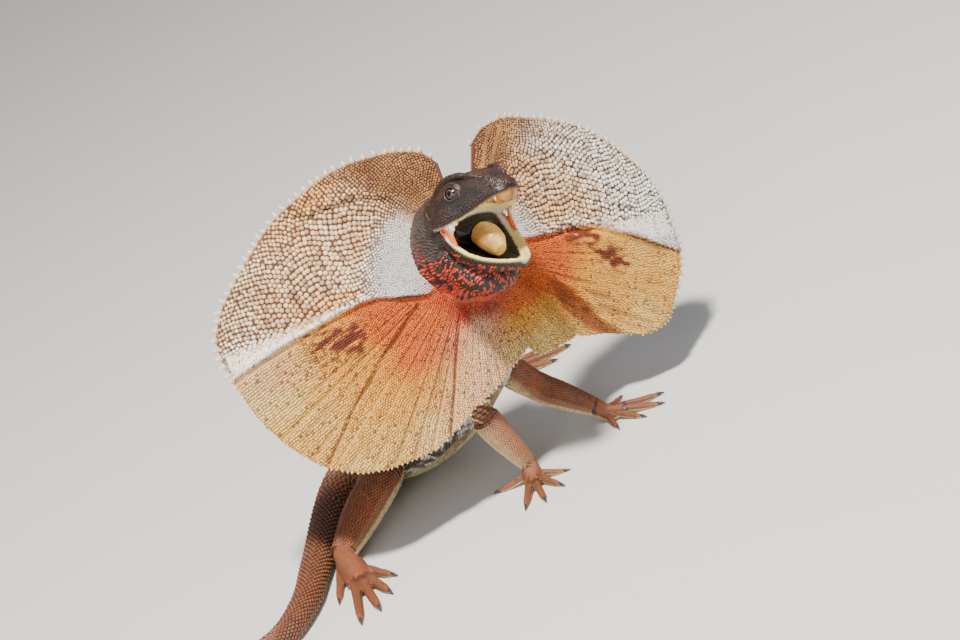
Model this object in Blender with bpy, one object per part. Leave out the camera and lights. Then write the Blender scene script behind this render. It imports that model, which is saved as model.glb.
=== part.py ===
"""Frilled lizard, life size, standing with its mouth open and its frill spread.

The animal faces -Y, its right side is towards -X and its tail runs off along +Y.
Lengths are in millimetres in the tables below and become metres in add_mesh.
"""
import math
import random

import bmesh
import bpy
import numpy as np
from mathutils import Matrix, Vector
from mathutils.bvhtree import BVHTree

MM = 0.001
GAP = 0.3
HALF_GAP = GAP / 2

# The head's own axes start midway between the corners of the mouth
HEAD_ORIGIN = Vector((9.1, -20.0, 169.2))
HEAD_YAW, HEAD_PITCH, HEAD_ROLL = 4.3, 18.0, 18.5
GAPE = 46.0
# The jaw sags by this much between its corner and its tip, and the snout bends up between two places
JAW_SAG, JAW_LENGTH = 6.5, 52.0
SNOUT_LIFT, SNOUT_START, SNOUT_END = 4.6, 16.0, 46.0
LIP_RADIUS, LIP_LIFT = 1.5, 0.4
TEETH_PER_SIDE, TOOTH_LENGTH, TOOTH_RADIUS = 9, 1.2, 0.95
TOOTH_INSET, TOOTH_ROOT, FANG_SCALE = 2.6, 1.4, 1.5

# Half width, height above the lip line and palate height, by distance along the skull; the gums
# of the front teeth hang below the lip line
SKULL_STATIONS = (
    (-20.0, 20.0, 19.5, -8.0),
    (-12.0, 23.5, 22.5, -5.5),
    (-3.0, 25.6, 24.5, -1.5),
    (6.0, 26.0, 25.5, 2.5),
    (14.0, 24.4, 25.8, 4.5),
    (22.0, 21.0, 24.8, 5.0),
    (29.0, 17.6, 20.8, 2.6),
    (34.5, 14.6, 16.6, -2.6),
    (39.5, 11.8, 12.4, -5.4),
    (43.5, 9.4, 8.8, -5.8),
    (46.2, 6.8, 6.4, -5.0),
    (47.8, 4.2, 4.4, -3.4),
    (48.6, 2.0, 2.8, -1.6),
)
# Half width, depth below the rim and depth of the trough, by distance along the jaw
JAW_STATIONS = (
    (1.2, 24.5, 12.5, 5.5),
    (9.0, 25.2, 13.0, 6.0),
    (18.0, 24.0, 12.5, 6.0),
    (27.0, 21.0, 11.0, 5.2),
    (35.0, 17.0, 9.4, 4.4),
    (42.0, 12.8, 7.8, 3.4),
    (47.5, 8.7, 6.2, 2.4),
    (51.5, 4.4, 4.6, 1.4),
    (53.0, 1.5, 3.2, 0.8),
)

# Rings of the two jaws: places along them, points over the outside and across the mouth side,
# and powers below one that square off the round of the outside
SKULL_CUTS = (-20.0, -12, -4, 2, 8, 14, 19, 24, 29, 34, 38, 41.5, 44.5, 46.6, 48.0, 48.6)
JAW_CUTS = (1.2, 8, 16, 24, 31, 37, 42, 46, 49, 51.3, 53.0)
ARCH_POINTS, KEEL_POINTS, ROOF_POINTS = 12, 10, 6
SKULL_SQUARE, JAW_SQUARE = (0.72, 0.80), (0.80, 0.85)
PALATE_SHARE, NAPE_SHARE, PALATE_EDGE = 0.80, 0.86, -0.35
JAW_RIM = 3.0
# Ridge over each eye: place in the head's axes and half thickness
BROW_ROUTE = (
    (1.0, 18.6, 20.2, 1.4), (8.0, 17.4, 23.0, 2.4), (15.5, 16.2, 24.4, 2.7),
    (23.0, 13.8, 23.2, 2.3), (31.0, 10.6, 18.0, 1.6), (38.5, 8.2, 12.0, 1.0),
)
# Tongue in the jaw's axes: distance along, height, half width and half height
TONGUE_STATIONS = (
    (4.0, -2.6, 7.4, 4.4), (10.0, 1.0, 8.4, 7.0), (18.0, 3.6, 8.6, 8.4), (25.0, 3.8, 7.4, 7.4),
    (30.5, 1.8, 4.0, 4.0),
)
THROAT_PLACE, THROAT_SIZE = (12.0, 0.0, -19.5), (27.0, 23.0, 14.5)
GULLET_PLACE, GULLET_SIZE = (-2.0, 0.0, -4.0), (11.0, 20.0, 10.0)
CHEEK_BACK, CHEEK_FRONT, CHEEK_THICK = 7.0, 17.0, 1.0
CHEEK_HOLLOW = 1.8

EYE_RADIUS = 5.8
EYE_PLACE = (17.0, 16.2, 14.8)
EYE_LOOK = (0.26, 1.0, 0.16)
LID_RING, LID_THICK, LID_OUT, LID_FLAT = 5.5, 1.25, 3.2, 0.86
EAR_PLACE = (-4.5, 24.6, 12.5)
EAR_RADIUS, EAR_DEPTH, EARDRUM_MARGIN = 4.3, 3.2, 0.5
NOSTRIL_PLACE, NOSTRIL_SIZE, NOSTRIL_HOLE = (42.6, 8.2, 4.6), (2.6, 2.0, 2.2), (1.2, 1.4, 1.1)

# Centre, half width and half height along neck, trunk and tail
SPINE_STATIONS = (
    ((10.5, -10.0, 173.0), 19.0, 17.0),
    ((10.6, 2.0, 166.5), 22.0, 21.0),
    ((13.5, 10.5, 150.0), 27.5, 25.0),
    ((17.0, 17.0, 126.0), 26.5, 24.5),
    ((19.0, 23.5, 101.0), 24.5, 23.5),
    ((19.0, 33.5, 77.0), 26.0, 24.5),
    ((15.0, 51.0, 60.0), 27.5, 25.0),
    ((7.0, 74.0, 44.0), 31.5, 28.0),
    ((-3.0, 98.0, 33.0), 33.0, 28.0),
    ((-11.0, 117.0, 26.5), 29.0, 23.5),
    ((-19.0, 133.0, 20.5), 21.0, 18.0),
    ((-31.0, 143.5, 15.0), 14.2, 14.0),
    ((-49.0, 141.0, 12.0), 12.2, 12.2),
    ((-74.0, 127.0, 10.8), 11.1, 11.1),
    ((-101.0, 109.5, 9.9), 10.2, 10.2),
    ((-130.0, 91.0, 9.1), 9.4, 9.4),
    ((-161.0, 72.0, 8.3), 8.6, 8.6),
    ((-197.0, 63.0, 7.4), 7.8, 7.8),
    ((-231.0, 83.0, 6.6), 7.1, 7.1),
    ((-248.0, 130.0, 5.9), 6.3, 6.3),
    ((-252.0, 184.0, 5.2), 5.5, 5.5),
    ((-248.0, 240.0, 4.4), 4.7, 4.7),
    ((-243.0, 290.0, 3.6), 3.9, 3.9),
    ((-240.0, 340.0, 2.8), 3.1, 3.1),
    ((-240.0, 385.0, 2.1), 2.3, 2.3),
    ((-242.0, 420.0, 1.3), 1.4, 1.4),
)
NECK_END, TRUNK_END = 4.5, 11.0
TAIL_ENDS = (14.0, 17.0, 20.0)

# The frill's own axes: across to the animal's left, up, and out in front
FRILL_CENTRE = Vector((18.6, 2.1, 144.5))
FRILL_YAW, FRILL_PITCH, FRILL_ROLL = 17.0, 15.0, 18.0
FRILL_SWEEP, FRILL_SWEEP_ROUND = 13.0, 15.0
FRILL_THICK = 1.4
FRILL_STEP = 3
# The search for the membrane's root on the neck: clearance, and the radii it looks between
ROOT_CLEAR, ROOT_FAR, ROOT_NEAR = 0.42, 70.0, 12.0
FRILL_RINGS = (0.0, 0.1, 0.24, 0.4, 0.56, 0.72, 0.87, 1.0)
# Radius by angle, from the left lobe's top edge down, across the throat and up the right lobe
FRILL_OUTLINE = (
    (72, 66), (67, 77), (58, 88), (46, 99), (36, 111), (27, 125), (17, 137), (8, 147), (0, 155),
    (-9, 159), (-15, 159), (-23, 153), (-29, 148), (-34, 138), (-38, 112), (-46, 91), (-57, 83),
    (-67, 78), (-72, 69), (-86, 76), (-97, 87), (-104, 96), (-109, 109), (-114, 122), (-121, 133),
    (-126, 142), (-131, 150), (-138, 156), (-148, 160), (-158, 162.5), (-168, 162.5), (-175, 160),
    (-181, 152), (-188, 139), (-195, 128), (-203, 118), (-212, 107), (-223, 96), (-237, 82),
    (-249, 72.5), (-258, 66), (-264, 56),
)
FRILL_SECTORS = (
    ("frill_left_upper", 72, -3),
    ("frill_left_lower", -3, -36),
    ("frill_throat", -36, -120),
    ("frill_right_lower", -120, -165),
    ("frill_right_upper", -165, -264),
)
# Fold or rod: angle at the root, angle at the rim, height at the rim, half width in degrees
FRILL_FOLDS = (
    (-14, -31, 9.0, 6.0),
    (-30, -41, -15.0, 6.5),
    (-100, -96, 3.0, 7.0),
    (-117, -114, -3.5, 4.0),
    (-147, -138, -3.0, 5.0),
    (-133, -127, 2.5, 5.0),
    (-159, -164, 2.5, 4.0),
    (0, -9, 3.0, 4.5),
    (40, 34, -2.5, 8.0),
    (-205, -200, -2.5, 9.0),
)
TOOTH_TALL, TOOTH_SMALL = 4.6, 1.8
TOOTH_SMALL_FROM, TOOTH_SMALL_TO = -28, -168
EDGE_RIPPLE, EDGE_RIPPLE_WAVES = 1.6, 13
# The gap between two stretches is exact at this radius
TRIM_RADIUS = 60.0

# Limb joints, from inside the trunk to the wrist or ankle, each with its half thickness
LIMBS = {
    "arm_right": (
        ((8.0, 37.0, 75.0), 10.5), ((-8.0, 27.0, 69.0), 11.0), ((-23.5, 10.0, 58.0), 9.4),
        ((-19.5, 6.5, 36.0), 8.8), ((-12.5, 1.5, 10.5), 5.8),
    ),
    "arm_left": (
        ((27.0, 38.0, 71.0), 10.5), ((33.5, 36.0, 54.0), 11.0), ((43.0, 28.0, 34.0), 9.4),
        ((47.0, 12.0, 22.0), 8.8), ((51.0, -7.0, 10.5), 5.8),
    ),
    "leg_right": (
        ((-18.0, 126.0, 24.0), 13.0), ((-35.0, 108.0, 24.5), 16.5), ((-48.0, 91.5, 26.0), 13.0),
        ((-79.0, 88.0, 18.0), 12.2), ((-109.0, 83.0, 10.0), 7.8),
    ),
    "leg_left": (
        ((-12.0, 131.0, 22.5), 12.0), ((14.0, 123.0, 26.0), 15.5), ((38.0, 112.0, 28.0), 12.6),
        ((60.0, 129.0, 19.0), 12.2), ((82.0, 142.0, 10.0), 7.8),
    ),
}
LIMB_NAMES = {
    "arm_right": ("upper_arm_right", "forearm_right", "hand_right"),
    "arm_left": ("upper_arm_left", "forearm_left", "hand_left"),
    "leg_right": ("thigh_right", "shank_right", "foot_right"),
    "leg_left": ("thigh_left", "shank_left", "foot_left"),
}
# Palm length, and for each digit: where it starts along the palm, angle from the palm's line,
# length and half thickness; angles grow from the outer side of the foot to its inner side
HANDS = {
    "arm_right": ((-0.72, -0.69), 1, 12.0, (
        (0.35, -100.0, 19.0, 2.3), (0.85, -14.0, 29.0, 2.6), (0.95, 6.0, 28.0, 2.6),
        (0.85, 34.0, 22.0, 2.4), (0.55, 72.0, 15.0, 2.2))),
    "arm_left": ((0.42, -0.91), -1, 12.0, (
        (0.35, -78.0, 19.0, 2.3), (0.85, -22.0, 28.0, 2.6), (0.95, 2.0, 28.0, 2.6),
        (0.85, 26.0, 22.0, 2.4), (0.55, 58.0, 15.0, 2.2))),
    "leg_right": ((-0.55, -0.836), 1, 33.0, (
        (0.22, -19.0, 36.0, 2.7), (0.90, -12.0, 54.0, 3.1), (0.95, -1.0, 47.0, 3.2),
        (0.96, 12.0, 34.0, 3.1), (0.80, 32.0, 22.0, 2.8))),
    "leg_left": ((0.80, -0.60), -1, 33.0, (
        (0.22, -30.0, 36.0, 2.7), (0.90, -14.0, 54.0, 3.1), (0.95, -1.0, 47.0, 3.2),
        (0.96, 14.0, 34.0, 3.1), (0.80, 34.0, 22.0, 2.8))),
}
# A digit: share of its length, then height above the floor and thickness, as multiples of its
# half thickness, and the lift of its knuckles
DIGIT_PROFILE = (
    (0.0, 1.0, 1.15, 2.2), (0.3, 1.0, 1.05, 1.8), (0.6, 0.9, 0.95, 0.4), (0.85, 0.7, 0.9, 0.0),
    (1.0, 0.5, 0.55, 0.0),
)
# A claw: share of its length, lift at that place and thickness as a multiple of the digit's
CLAW_PROFILE = ((-0.32, 0.0, 0.5), (0.45, 0.5, 0.42), (0.8, -0.3, 0.28))
CLAW_LENGTH, CLAW_TIP = 5.0, 0.25
# A palm: half width and half height at wrist, middle, knuckles and front, by the wrist's half
PALM_WIDTHS = (1.0, 1.15, 1.2, 0.7)
PALM_HEIGHTS = (1.0, 0.85, 0.62, 0.4)
SOLE_SINK = 0.5
TUBE_SIDES, LIMB_SIDES, DIGIT_SIDES = 20, 12, 6
TAIL_SIDES, TAIL_STEP, LIMB_STEP = (16, 12, 10, 8), 0.34, 0.4

COLOURS = {
    "hide": ((0.17, 0.055, 0.025), 0.62),
    "dark_hide": ((0.035, 0.018, 0.012), 0.55),
    "frill_skin": ((0.62, 0.36, 0.17), 0.6),
    "mouth_skin": ((0.72, 0.52, 0.30), 0.4),
    "tongue_skin": ((0.75, 0.55, 0.12), 0.35),
    "eye_glass": ((0.10, 0.05, 0.02), 0.08),
}


def clear_scene():
    for obj in list(bpy.data.objects):
        bpy.data.objects.remove(obj, do_unlink=True)


def material(name):
    found = bpy.data.materials.get(name)
    if found:
        return found
    made = bpy.data.materials.new(name)
    made.use_nodes = True
    shader = made.node_tree.nodes["Principled BSDF"]
    colour, roughness = COLOURS[name]
    shader.inputs["Base Color"].default_value = (*colour, 1.0)
    shader.inputs["Roughness"].default_value = roughness
    shader.inputs["Metallic"].default_value = 0.0
    return made


def own_axes(yaw, pitch, roll):
    """Columns forward, left and up; yaw turns to the animal's right, roll drops its left."""
    y, p, r = (math.radians(a) for a in (yaw, pitch, roll))
    forward = Vector((-math.sin(y) * math.cos(p), -math.cos(y) * math.cos(p), math.sin(p)))
    left = Vector((math.cos(y), -math.sin(y), 0.0))
    up = forward.cross(left)
    tilted_left = left * math.cos(r) - up * math.sin(r)
    tilted_up = up * math.cos(r) + left * math.sin(r)
    return Matrix((forward, tilted_left, tilted_up)).transposed()


HEAD_AXES = own_axes(HEAD_YAW, HEAD_PITCH, HEAD_ROLL)
JAW_AXES = HEAD_AXES @ Matrix.Rotation(math.radians(GAPE), 3, "Y")
FRILL_AXES = own_axes(FRILL_YAW, FRILL_PITCH, FRILL_ROLL)


def head_point(x, y, z):
    t = min(max((x - SNOUT_START) / (SNOUT_END - SNOUT_START), 0.0), 1.0)
    lift = SNOUT_LIFT * t * t * (3 - 2 * t)
    return HEAD_ORIGIN + HEAD_AXES @ Vector((x, y, z + lift))


def jaw_point(x, y, z):
    sag = JAW_SAG * math.sin(math.pi * min(max(x / JAW_LENGTH, 0.0), 1.0))
    return HEAD_ORIGIN + JAW_AXES @ Vector((x, y, z - sag))


def add_mesh(name, points, faces, colour):
    mesh = bpy.data.meshes.new(name)
    mesh.from_pydata([Vector(p) * MM for p in points], [], faces)
    bm = bmesh.new()
    bm.from_mesh(mesh)
    bmesh.ops.recalc_face_normals(bm, faces=bm.faces)
    if bm.calc_volume(signed=True) < 0:
        bmesh.ops.reverse_faces(bm, faces=bm.faces)
    bmesh.ops.triangulate(bm, faces=bm.faces)
    bm.to_mesh(mesh)
    bm.free()
    mesh.shade_smooth()
    obj = bpy.data.objects.new(name, mesh)
    bpy.context.collection.objects.link(obj)
    obj.data.materials.append(material(colour))
    return obj


def loft(rings):
    """Join rings of equal length side by side and close both ends."""
    count = len(rings[0])
    points = [p for ring in rings for p in ring]
    faces = []
    for k in range(len(rings) - 1):
        for i in range(count):
            j = (i + 1) % count
            a, b = k * count, (k + 1) * count
            faces.append((a + i, a + j, b + j, b + i))
    faces.append(tuple(range(count))[::-1])
    last = (len(rings) - 1) * count
    faces.append(tuple(last + i for i in range(count)))
    return points, faces


def smooth_at(values, t):
    """Read a list of vectors or numbers at place t along a smooth curve through them."""
    last = len(values) - 1
    k = min(max(int(math.floor(t)), 0), last - 1)
    f = t - k
    p1, p2 = values[k], values[k + 1]
    p0 = values[k - 1] if k > 0 else p1 * 2 - p2
    p3 = values[k + 2] if k + 2 <= last else p2 * 2 - p1
    slope_1, slope_2 = (p2 - p0) * 0.5, (p3 - p1) * 0.5
    f2, f3 = f * f, f * f * f
    start = p1 * (2 * f3 - 3 * f2 + 1) + slope_1 * (f3 - 2 * f2 + f)
    return start + p2 * (3 * f2 - 2 * f3) + slope_2 * (f3 - f2)


def between(table, x):
    """Straight-line reading of a table of (place, value...) rows, in rising or falling order."""
    rows = sorted(table)
    places = [row[0] for row in rows]
    return [float(np.interp(x, places, [row[c] for row in rows])) for c in range(1, len(rows[0]))]


def ring_about(centre, along, half_width, half_height, sides, side=None):
    """Points of an ellipse square to a direction, its width along the given side."""
    across = side if side else along.cross(Vector((0, 0, 1)))
    if across.length < 0.2:
        across = along.cross(Vector((0, -1, 0)))
    across = (across - along * across.dot(along)).normalized()
    up = across.cross(along).normalized()
    points = []
    for i in range(sides):
        a = 2 * math.pi * (i + 0.5) / sides
        points.append(centre + across * (half_width * math.cos(a)) + up * (half_height * math.sin(a)))
    return points


def tube_rings(centres, widths, heights, start, end, step, sides):
    """Rings between two places on a curve, drawn back at both cut ends by half the gap."""
    count = max(2, int(round((end - start) / step)) + 1)
    rings = []
    for n in range(count):
        t = start + (end - start) * n / (count - 1)
        centre = smooth_at(centres, t)
        along = (smooth_at(centres, t + 0.02) - smooth_at(centres, t - 0.02)).normalized()
        if n == 0:
            centre = centre + along * HALF_GAP
        if n == count - 1:
            centre = centre - along * HALF_GAP
        width, height = smooth_at(widths, t), smooth_at(heights, t)
        rings.append(ring_about(centre, along, width, height, sides))
    return rings


def rod(name, points, radii, sides, colour, step=1.0):
    """A round rod through the points."""
    last = len(points) - 1
    rings = tube_rings([Vector(p) for p in points], list(radii), list(radii), 0, last, step, sides)
    return add_mesh(name, *loft(rings), colour)


def ball(name, centre, radii, axes, colour, subdivisions=2):
    bm = bmesh.new()
    bmesh.ops.create_icosphere(bm, subdivisions=subdivisions, radius=1.0)
    points = [Vector(centre) + axes @ Vector((v.co[0] * radii[0], v.co[1] * radii[1], v.co[2] * radii[2]))
              for v in bm.verts]
    faces = [tuple(v.index for v in f.verts) for f in bm.faces]
    bm.free()
    return add_mesh(name, points, faces, colour)


def cone(name, base, tip, radius, sides, colour):
    """A spike with a blunt root."""
    along = (Vector(tip) - Vector(base)).normalized()
    ring = ring_about(Vector(base), along, radius, radius, sides)
    points = ring + [Vector(tip)]
    faces = [tuple(range(sides))] + [(i, (i + 1) % sides, sides) for i in range(sides)]
    return add_mesh(name, points, faces, colour)


def keep_largest(mesh):
    """Drop all but the biggest closed surface of a mesh."""
    bm = bmesh.new()
    bm.from_mesh(mesh)
    unseen = set(bm.faces)
    groups = []
    while unseen:
        group, front = set(), [unseen.pop()]
        while front:
            face = front.pop()
            group.add(face)
            for edge in face.edges:
                for other in edge.link_faces:
                    if other in unseen:
                        unseen.discard(other)
                        front.append(other)
        groups.append(group)
    groups.sort(key=lambda g: -sum(f.calc_area() for f in g))
    for group in groups[1:]:
        bmesh.ops.delete(bm, geom=list(group), context="FACES")
    bmesh.ops.delete(bm, geom=[v for v in bm.verts if not v.link_faces], context="VERTS")
    bmesh.ops.dissolve_degenerate(bm, dist=2e-6, edges=bm.edges)
    bmesh.ops.triangulate(bm, faces=bm.faces)
    bm.to_mesh(mesh)
    bm.free()


def apply_boolean(obj, operation, others):
    """Join the others to the object, or cut them from it, and remove them."""
    group = bpy.data.collections.new("pieces")
    for other in others:
        group.objects.link(other)
    modifier = obj.modifiers.new("pieces", "BOOLEAN")
    modifier.operation = operation
    modifier.solver = "EXACT"
    modifier.operand_type = "COLLECTION"
    modifier.collection = group
    modifier.use_self = False
    depsgraph = bpy.context.evaluated_depsgraph_get()
    mesh = bpy.data.meshes.new_from_object(obj.evaluated_get(depsgraph))
    obj.modifiers.remove(modifier)
    obj.data = mesh
    bpy.data.collections.remove(group)
    for other in others:
        bpy.data.objects.remove(other, do_unlink=True)
    keep_largest(obj.data)
    return obj


def swollen_copy(obj, by):
    """A copy of the object, larger by a small distance all round."""
    mesh = obj.data.copy()
    bm = bmesh.new()
    bm.from_mesh(mesh)
    bmesh.ops.recalc_face_normals(bm, faces=bm.faces)
    bm.normal_update()
    moves = [v.normal * (by * MM * min(v.calc_shell_factor(), 1.6)) for v in bm.verts]
    for vert, move in zip(bm.verts, moves):
        vert.co += move
    bm.to_mesh(mesh)
    bm.free()
    copy = bpy.data.objects.new(obj.name + "_clearance", mesh)
    bpy.context.collection.objects.link(copy)
    return copy


def floor_cutter():
    reach, depth = 600.0, 40.0
    corners = [(x, y, z) for z in (-depth, 0.0) for x, y in
               ((-reach, -reach), (reach, -reach), (reach, reach), (-reach, reach))]
    faces = [(0, 1, 2, 3), (4, 5, 6, 7), (0, 1, 5, 4), (1, 2, 6, 5), (2, 3, 7, 6), (3, 0, 4, 7)]
    return add_mesh("floor_cutter", corners, faces, "hide")


def skull_ring(x):
    half_width, top, palate = between(SKULL_STATIONS, x)
    behind_mouth = x < 0
    points = []
    for i in range(ARCH_POINTS):
        a = math.pi * i / (ARCH_POINTS - 1)
        side = math.copysign(abs(math.cos(a)) ** SKULL_SQUARE[0], math.cos(a))
        height = abs(math.sin(a)) ** SKULL_SQUARE[1]
        points.append(head_point(x, half_width * side, top * height))
    inner = half_width * (NAPE_SHARE if behind_mouth else PALATE_SHARE)
    for i in range(ROOF_POINTS):
        y = -inner + 2 * inner * i / (ROOF_POINTS - 1)
        bulge = 1 - (y / inner) ** 2
        if behind_mouth:
            low = palate * (1 + 2 * bulge) / 3
        else:
            low = palate * bulge + PALATE_EDGE
        points.append(head_point(x, y, low))
    return points


def skull():
    return add_mesh("head", *loft([skull_ring(x) for x in SKULL_CUTS]), "dark_hide")


def lip_line(stations, x_start, x_end, count, inset, place):
    """Points round a jaw's rim from the right corner past the front to the left corner."""
    right = []
    for i in range(count):
        x = x_start + (x_end - x_start) * math.sin(0.5 * math.pi * i / (count - 1))
        half_width = between(stations, x)[0]
        right.append((x, -(half_width - inset)))
    line = [place(x, y, LIP_LIFT) for x, y in right]
    line += [place(x, -y, LIP_LIFT) for x, y in reversed(right)]
    return line


def teeth(name, stations, x_start, x_end, place, upward):
    """A row of small teeth down each side of a jaw, the front pair longer."""
    made = []
    for side in (-1, 1):
        for i in range(TEETH_PER_SIDE):
            x = x_start + (x_end - x_start) * i / (TEETH_PER_SIDE - 1)
            half_width = between(stations, x)[0]
            y = side * (half_width - TOOTH_INSET)
            tall = TOOTH_LENGTH * (FANG_SCALE if i == TEETH_PER_SIDE - 1 else 1.0)
            base = place(x, y, -TOOTH_ROOT * upward)
            tip = place(x, y, upward * (1.0 + tall))
            made.append(cone(f"{name}_{side}_{i}", base, tip, TOOTH_RADIUS, 4, "mouth_skin"))
    return made


def eye_axes(side):
    look = Vector((EYE_LOOK[0], side * EYE_LOOK[1], EYE_LOOK[2])).normalized()
    ahead = Vector((1, 0, 0))
    up = look.cross(ahead).normalized() * -side
    across = up.cross(look).normalized()
    return HEAD_AXES @ Matrix((look, across, up)).transposed()


def lid_ring(side):
    """A ring of skin round the opening of the eye."""
    axes = eye_axes(side)
    centre = head_point(EYE_PLACE[0], side * EYE_PLACE[1], EYE_PLACE[2])
    around, section = 12, 5
    points, faces = [], []
    for i in range(around):
        a = 2 * math.pi * i / around
        for j in range(section):
            b = 2 * math.pi * j / section
            radius = LID_RING + LID_THICK * math.cos(b)
            out = LID_OUT + LID_THICK * math.sin(b)
            spot = Vector((out, radius * math.cos(a), LID_FLAT * radius * math.sin(a)))
            points.append(centre + axes @ spot)
    for i in range(around):
        for j in range(section):
            a, b = i * section, ((i + 1) % around) * section
            k = (j + 1) % section
            faces.append((a + j, b + j, b + k, a + k))
    return add_mesh(f"lid_{side}", points, faces, "dark_hide")


def brow_line(side):
    points = [head_point(x, side * y, z) for x, y, z, _ in BROW_ROUTE]
    radii = [row[3] for row in BROW_ROUTE]
    return rod(f"brow_{side}", points, radii, 6, "dark_hide")


def make_head():
    head = skull()
    joined = []
    for side in (-1, 1):
        joined.append(lid_ring(side))
        joined.append(brow_line(side))
        x, y, z = NOSTRIL_PLACE
        joined.append(ball(f"nostril_{side}", head_point(x, side * (y - 0.4), z), NOSTRIL_SIZE,
                           HEAD_AXES, "dark_hide", 1))
    lip = lip_line(SKULL_STATIONS, 3.5, 47.6, 9, 1.0, head_point)
    joined.append(rod("upper_lip", lip, [LIP_RADIUS] * len(lip), 6, "dark_hide"))
    joined += teeth("tooth", SKULL_STATIONS, 18.0, 43.5, head_point, -1)
    apply_boolean(head, "UNION", joined)
    cut = []
    for side in (-1, 1):
        centre = head_point(EYE_PLACE[0], side * EYE_PLACE[1], EYE_PLACE[2])
        cut.append(ball(f"socket_{side}", centre, [EYE_RADIUS + GAP] * 3, eye_axes(side), "dark_hide", 2))
        ear = head_point(EAR_PLACE[0], side * (EAR_PLACE[1] + 0.6), EAR_PLACE[2])
        pit = (EAR_RADIUS + GAP, EAR_DEPTH, EAR_RADIUS + GAP)
        cut.append(ball(f"ear_pit_{side}", ear, pit, HEAD_AXES, "dark_hide", 2))
        x, y, z = NOSTRIL_PLACE
        cut.append(ball(f"nostril_pit_{side}", head_point(x + 0.8, side * (y + 1.5), z + 0.3),
                        NOSTRIL_HOLE, HEAD_AXES, "dark_hide", 1))
    return apply_boolean(head, "DIFFERENCE", cut)


def make_eyes_and_ears():
    for side, word in ((-1, "right"), (1, "left")):
        centre = head_point(EYE_PLACE[0], side * EYE_PLACE[1], EYE_PLACE[2])
        ball(f"eye_{word}", centre, [EYE_RADIUS] * 3, eye_axes(side), "eye_glass", 2)
        ear = head_point(EAR_PLACE[0], side * (EAR_PLACE[1] + 0.4), EAR_PLACE[2])
        drum = (EAR_RADIUS - EARDRUM_MARGIN, EAR_DEPTH - 0.8, EAR_RADIUS - EARDRUM_MARGIN)
        ball(f"ear_{word}", ear, drum, HEAD_AXES, "hide", 2)


def jaw_ring(x):
    half_width, depth, trough = between(JAW_STATIONS, x)
    points = []
    for i in range(KEEL_POINTS):
        a = math.pi * i / (KEEL_POINTS - 1)
        side = math.copysign(abs(math.cos(a)) ** JAW_SQUARE[0], math.cos(a))
        points.append(jaw_point(x, -half_width * side, -depth * abs(math.sin(a)) ** JAW_SQUARE[1]))
    inner = half_width - min(JAW_RIM, half_width * 0.4)
    for i in range(ROOF_POINTS):
        y = inner - 2 * inner * i / (ROOF_POINTS - 1)
        points.append(jaw_point(x, y, -trough * max(0.0, 1 - (y / inner) ** 2) ** 0.7))
    return points


def make_lower_jaw():
    jaw = add_mesh("lower_jaw", *loft([jaw_ring(x) for x in JAW_CUTS]), "dark_hide")
    lip = lip_line(JAW_STATIONS, 5.0, 51.2, 8, 1.4, jaw_point)
    joined = [rod("lower_lip", lip, [LIP_RADIUS] * len(lip), 6, "dark_hide")]
    joined += teeth("lower_tooth", JAW_STATIONS, 19.0, 47.0, jaw_point, 1)
    return apply_boolean(jaw, "UNION", joined)


def make_tongue(jaw, neck):
    turns = [2 * math.pi * i / 12 for i in range(12)]
    rings = []
    for x, z, half_width, half_height in TONGUE_STATIONS:
        rings.append([jaw_point(x, half_width * math.cos(a), z + half_height * math.sin(a)) for a in turns])
    tongue = add_mesh("tongue", *loft(rings), "tongue_skin")
    return apply_boolean(tongue, "DIFFERENCE", [swollen_copy(jaw, GAP), swollen_copy(neck, GAP)])


def spine_tube(name, start, end, step, sides, colour):
    centres = [Vector(row[0]) for row in SPINE_STATIONS]
    widths = [row[1] for row in SPINE_STATIONS]
    heights = [row[2] for row in SPINE_STATIONS]
    rings = tube_rings(centres, widths, heights, start, end, step, sides)
    return add_mesh(name, *loft(rings), colour)


def make_neck(head, jaw):
    neck = spine_tube("neck", 0.0, NECK_END, 0.5, TUBE_SIDES, "dark_hide")
    throat = ball("throat", jaw_point(*THROAT_PLACE), THROAT_SIZE, JAW_AXES, "dark_hide", 3)
    gullet = ball("gullet", head_point(*GULLET_PLACE), GULLET_SIZE, HEAD_AXES, "dark_hide", 2)
    apply_boolean(neck, "UNION", [throat, gullet])
    return apply_boolean(neck, "DIFFERENCE", [swollen_copy(head, GAP), swollen_copy(jaw, GAP)])


def make_cheek(side, word):
    """The web of skin between the jaws at one corner of the mouth."""
    upper = LIP_RADIUS + GAP - LIP_LIFT
    lower = LIP_RADIUS + GAP + LIP_LIFT
    edges = []
    for x in (CHEEK_BACK, CHEEK_FRONT):
        top = between(SKULL_STATIONS, x)[0] - 1.6
        low = between(JAW_STATIONS, x)[0] - 2.0
        edges.append((head_point(x, side * top, -upper), jaw_point(x, side * low, lower)))
    across = HEAD_AXES @ Vector((0, side * CHEEK_THICK, 0))
    rings = []
    for f in (0.0, 0.25, 0.5, 0.75, 1.0):
        back = edges[0][0].lerp(edges[0][1], f)
        front = edges[1][0].lerp(edges[1][1], f)
        front = front.lerp(back, CHEEK_HOLLOW * f * (1 - f))
        rings.append([back - across, front - across, front + across, back + across])
    return add_mesh(f"cheek_{word}", *loft(rings), "mouth_skin")


def frill_radius(angle):
    return between(FRILL_OUTLINE, angle)[0]


def gaussian(x, width):
    return math.exp(-(x / width) ** 2)


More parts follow.
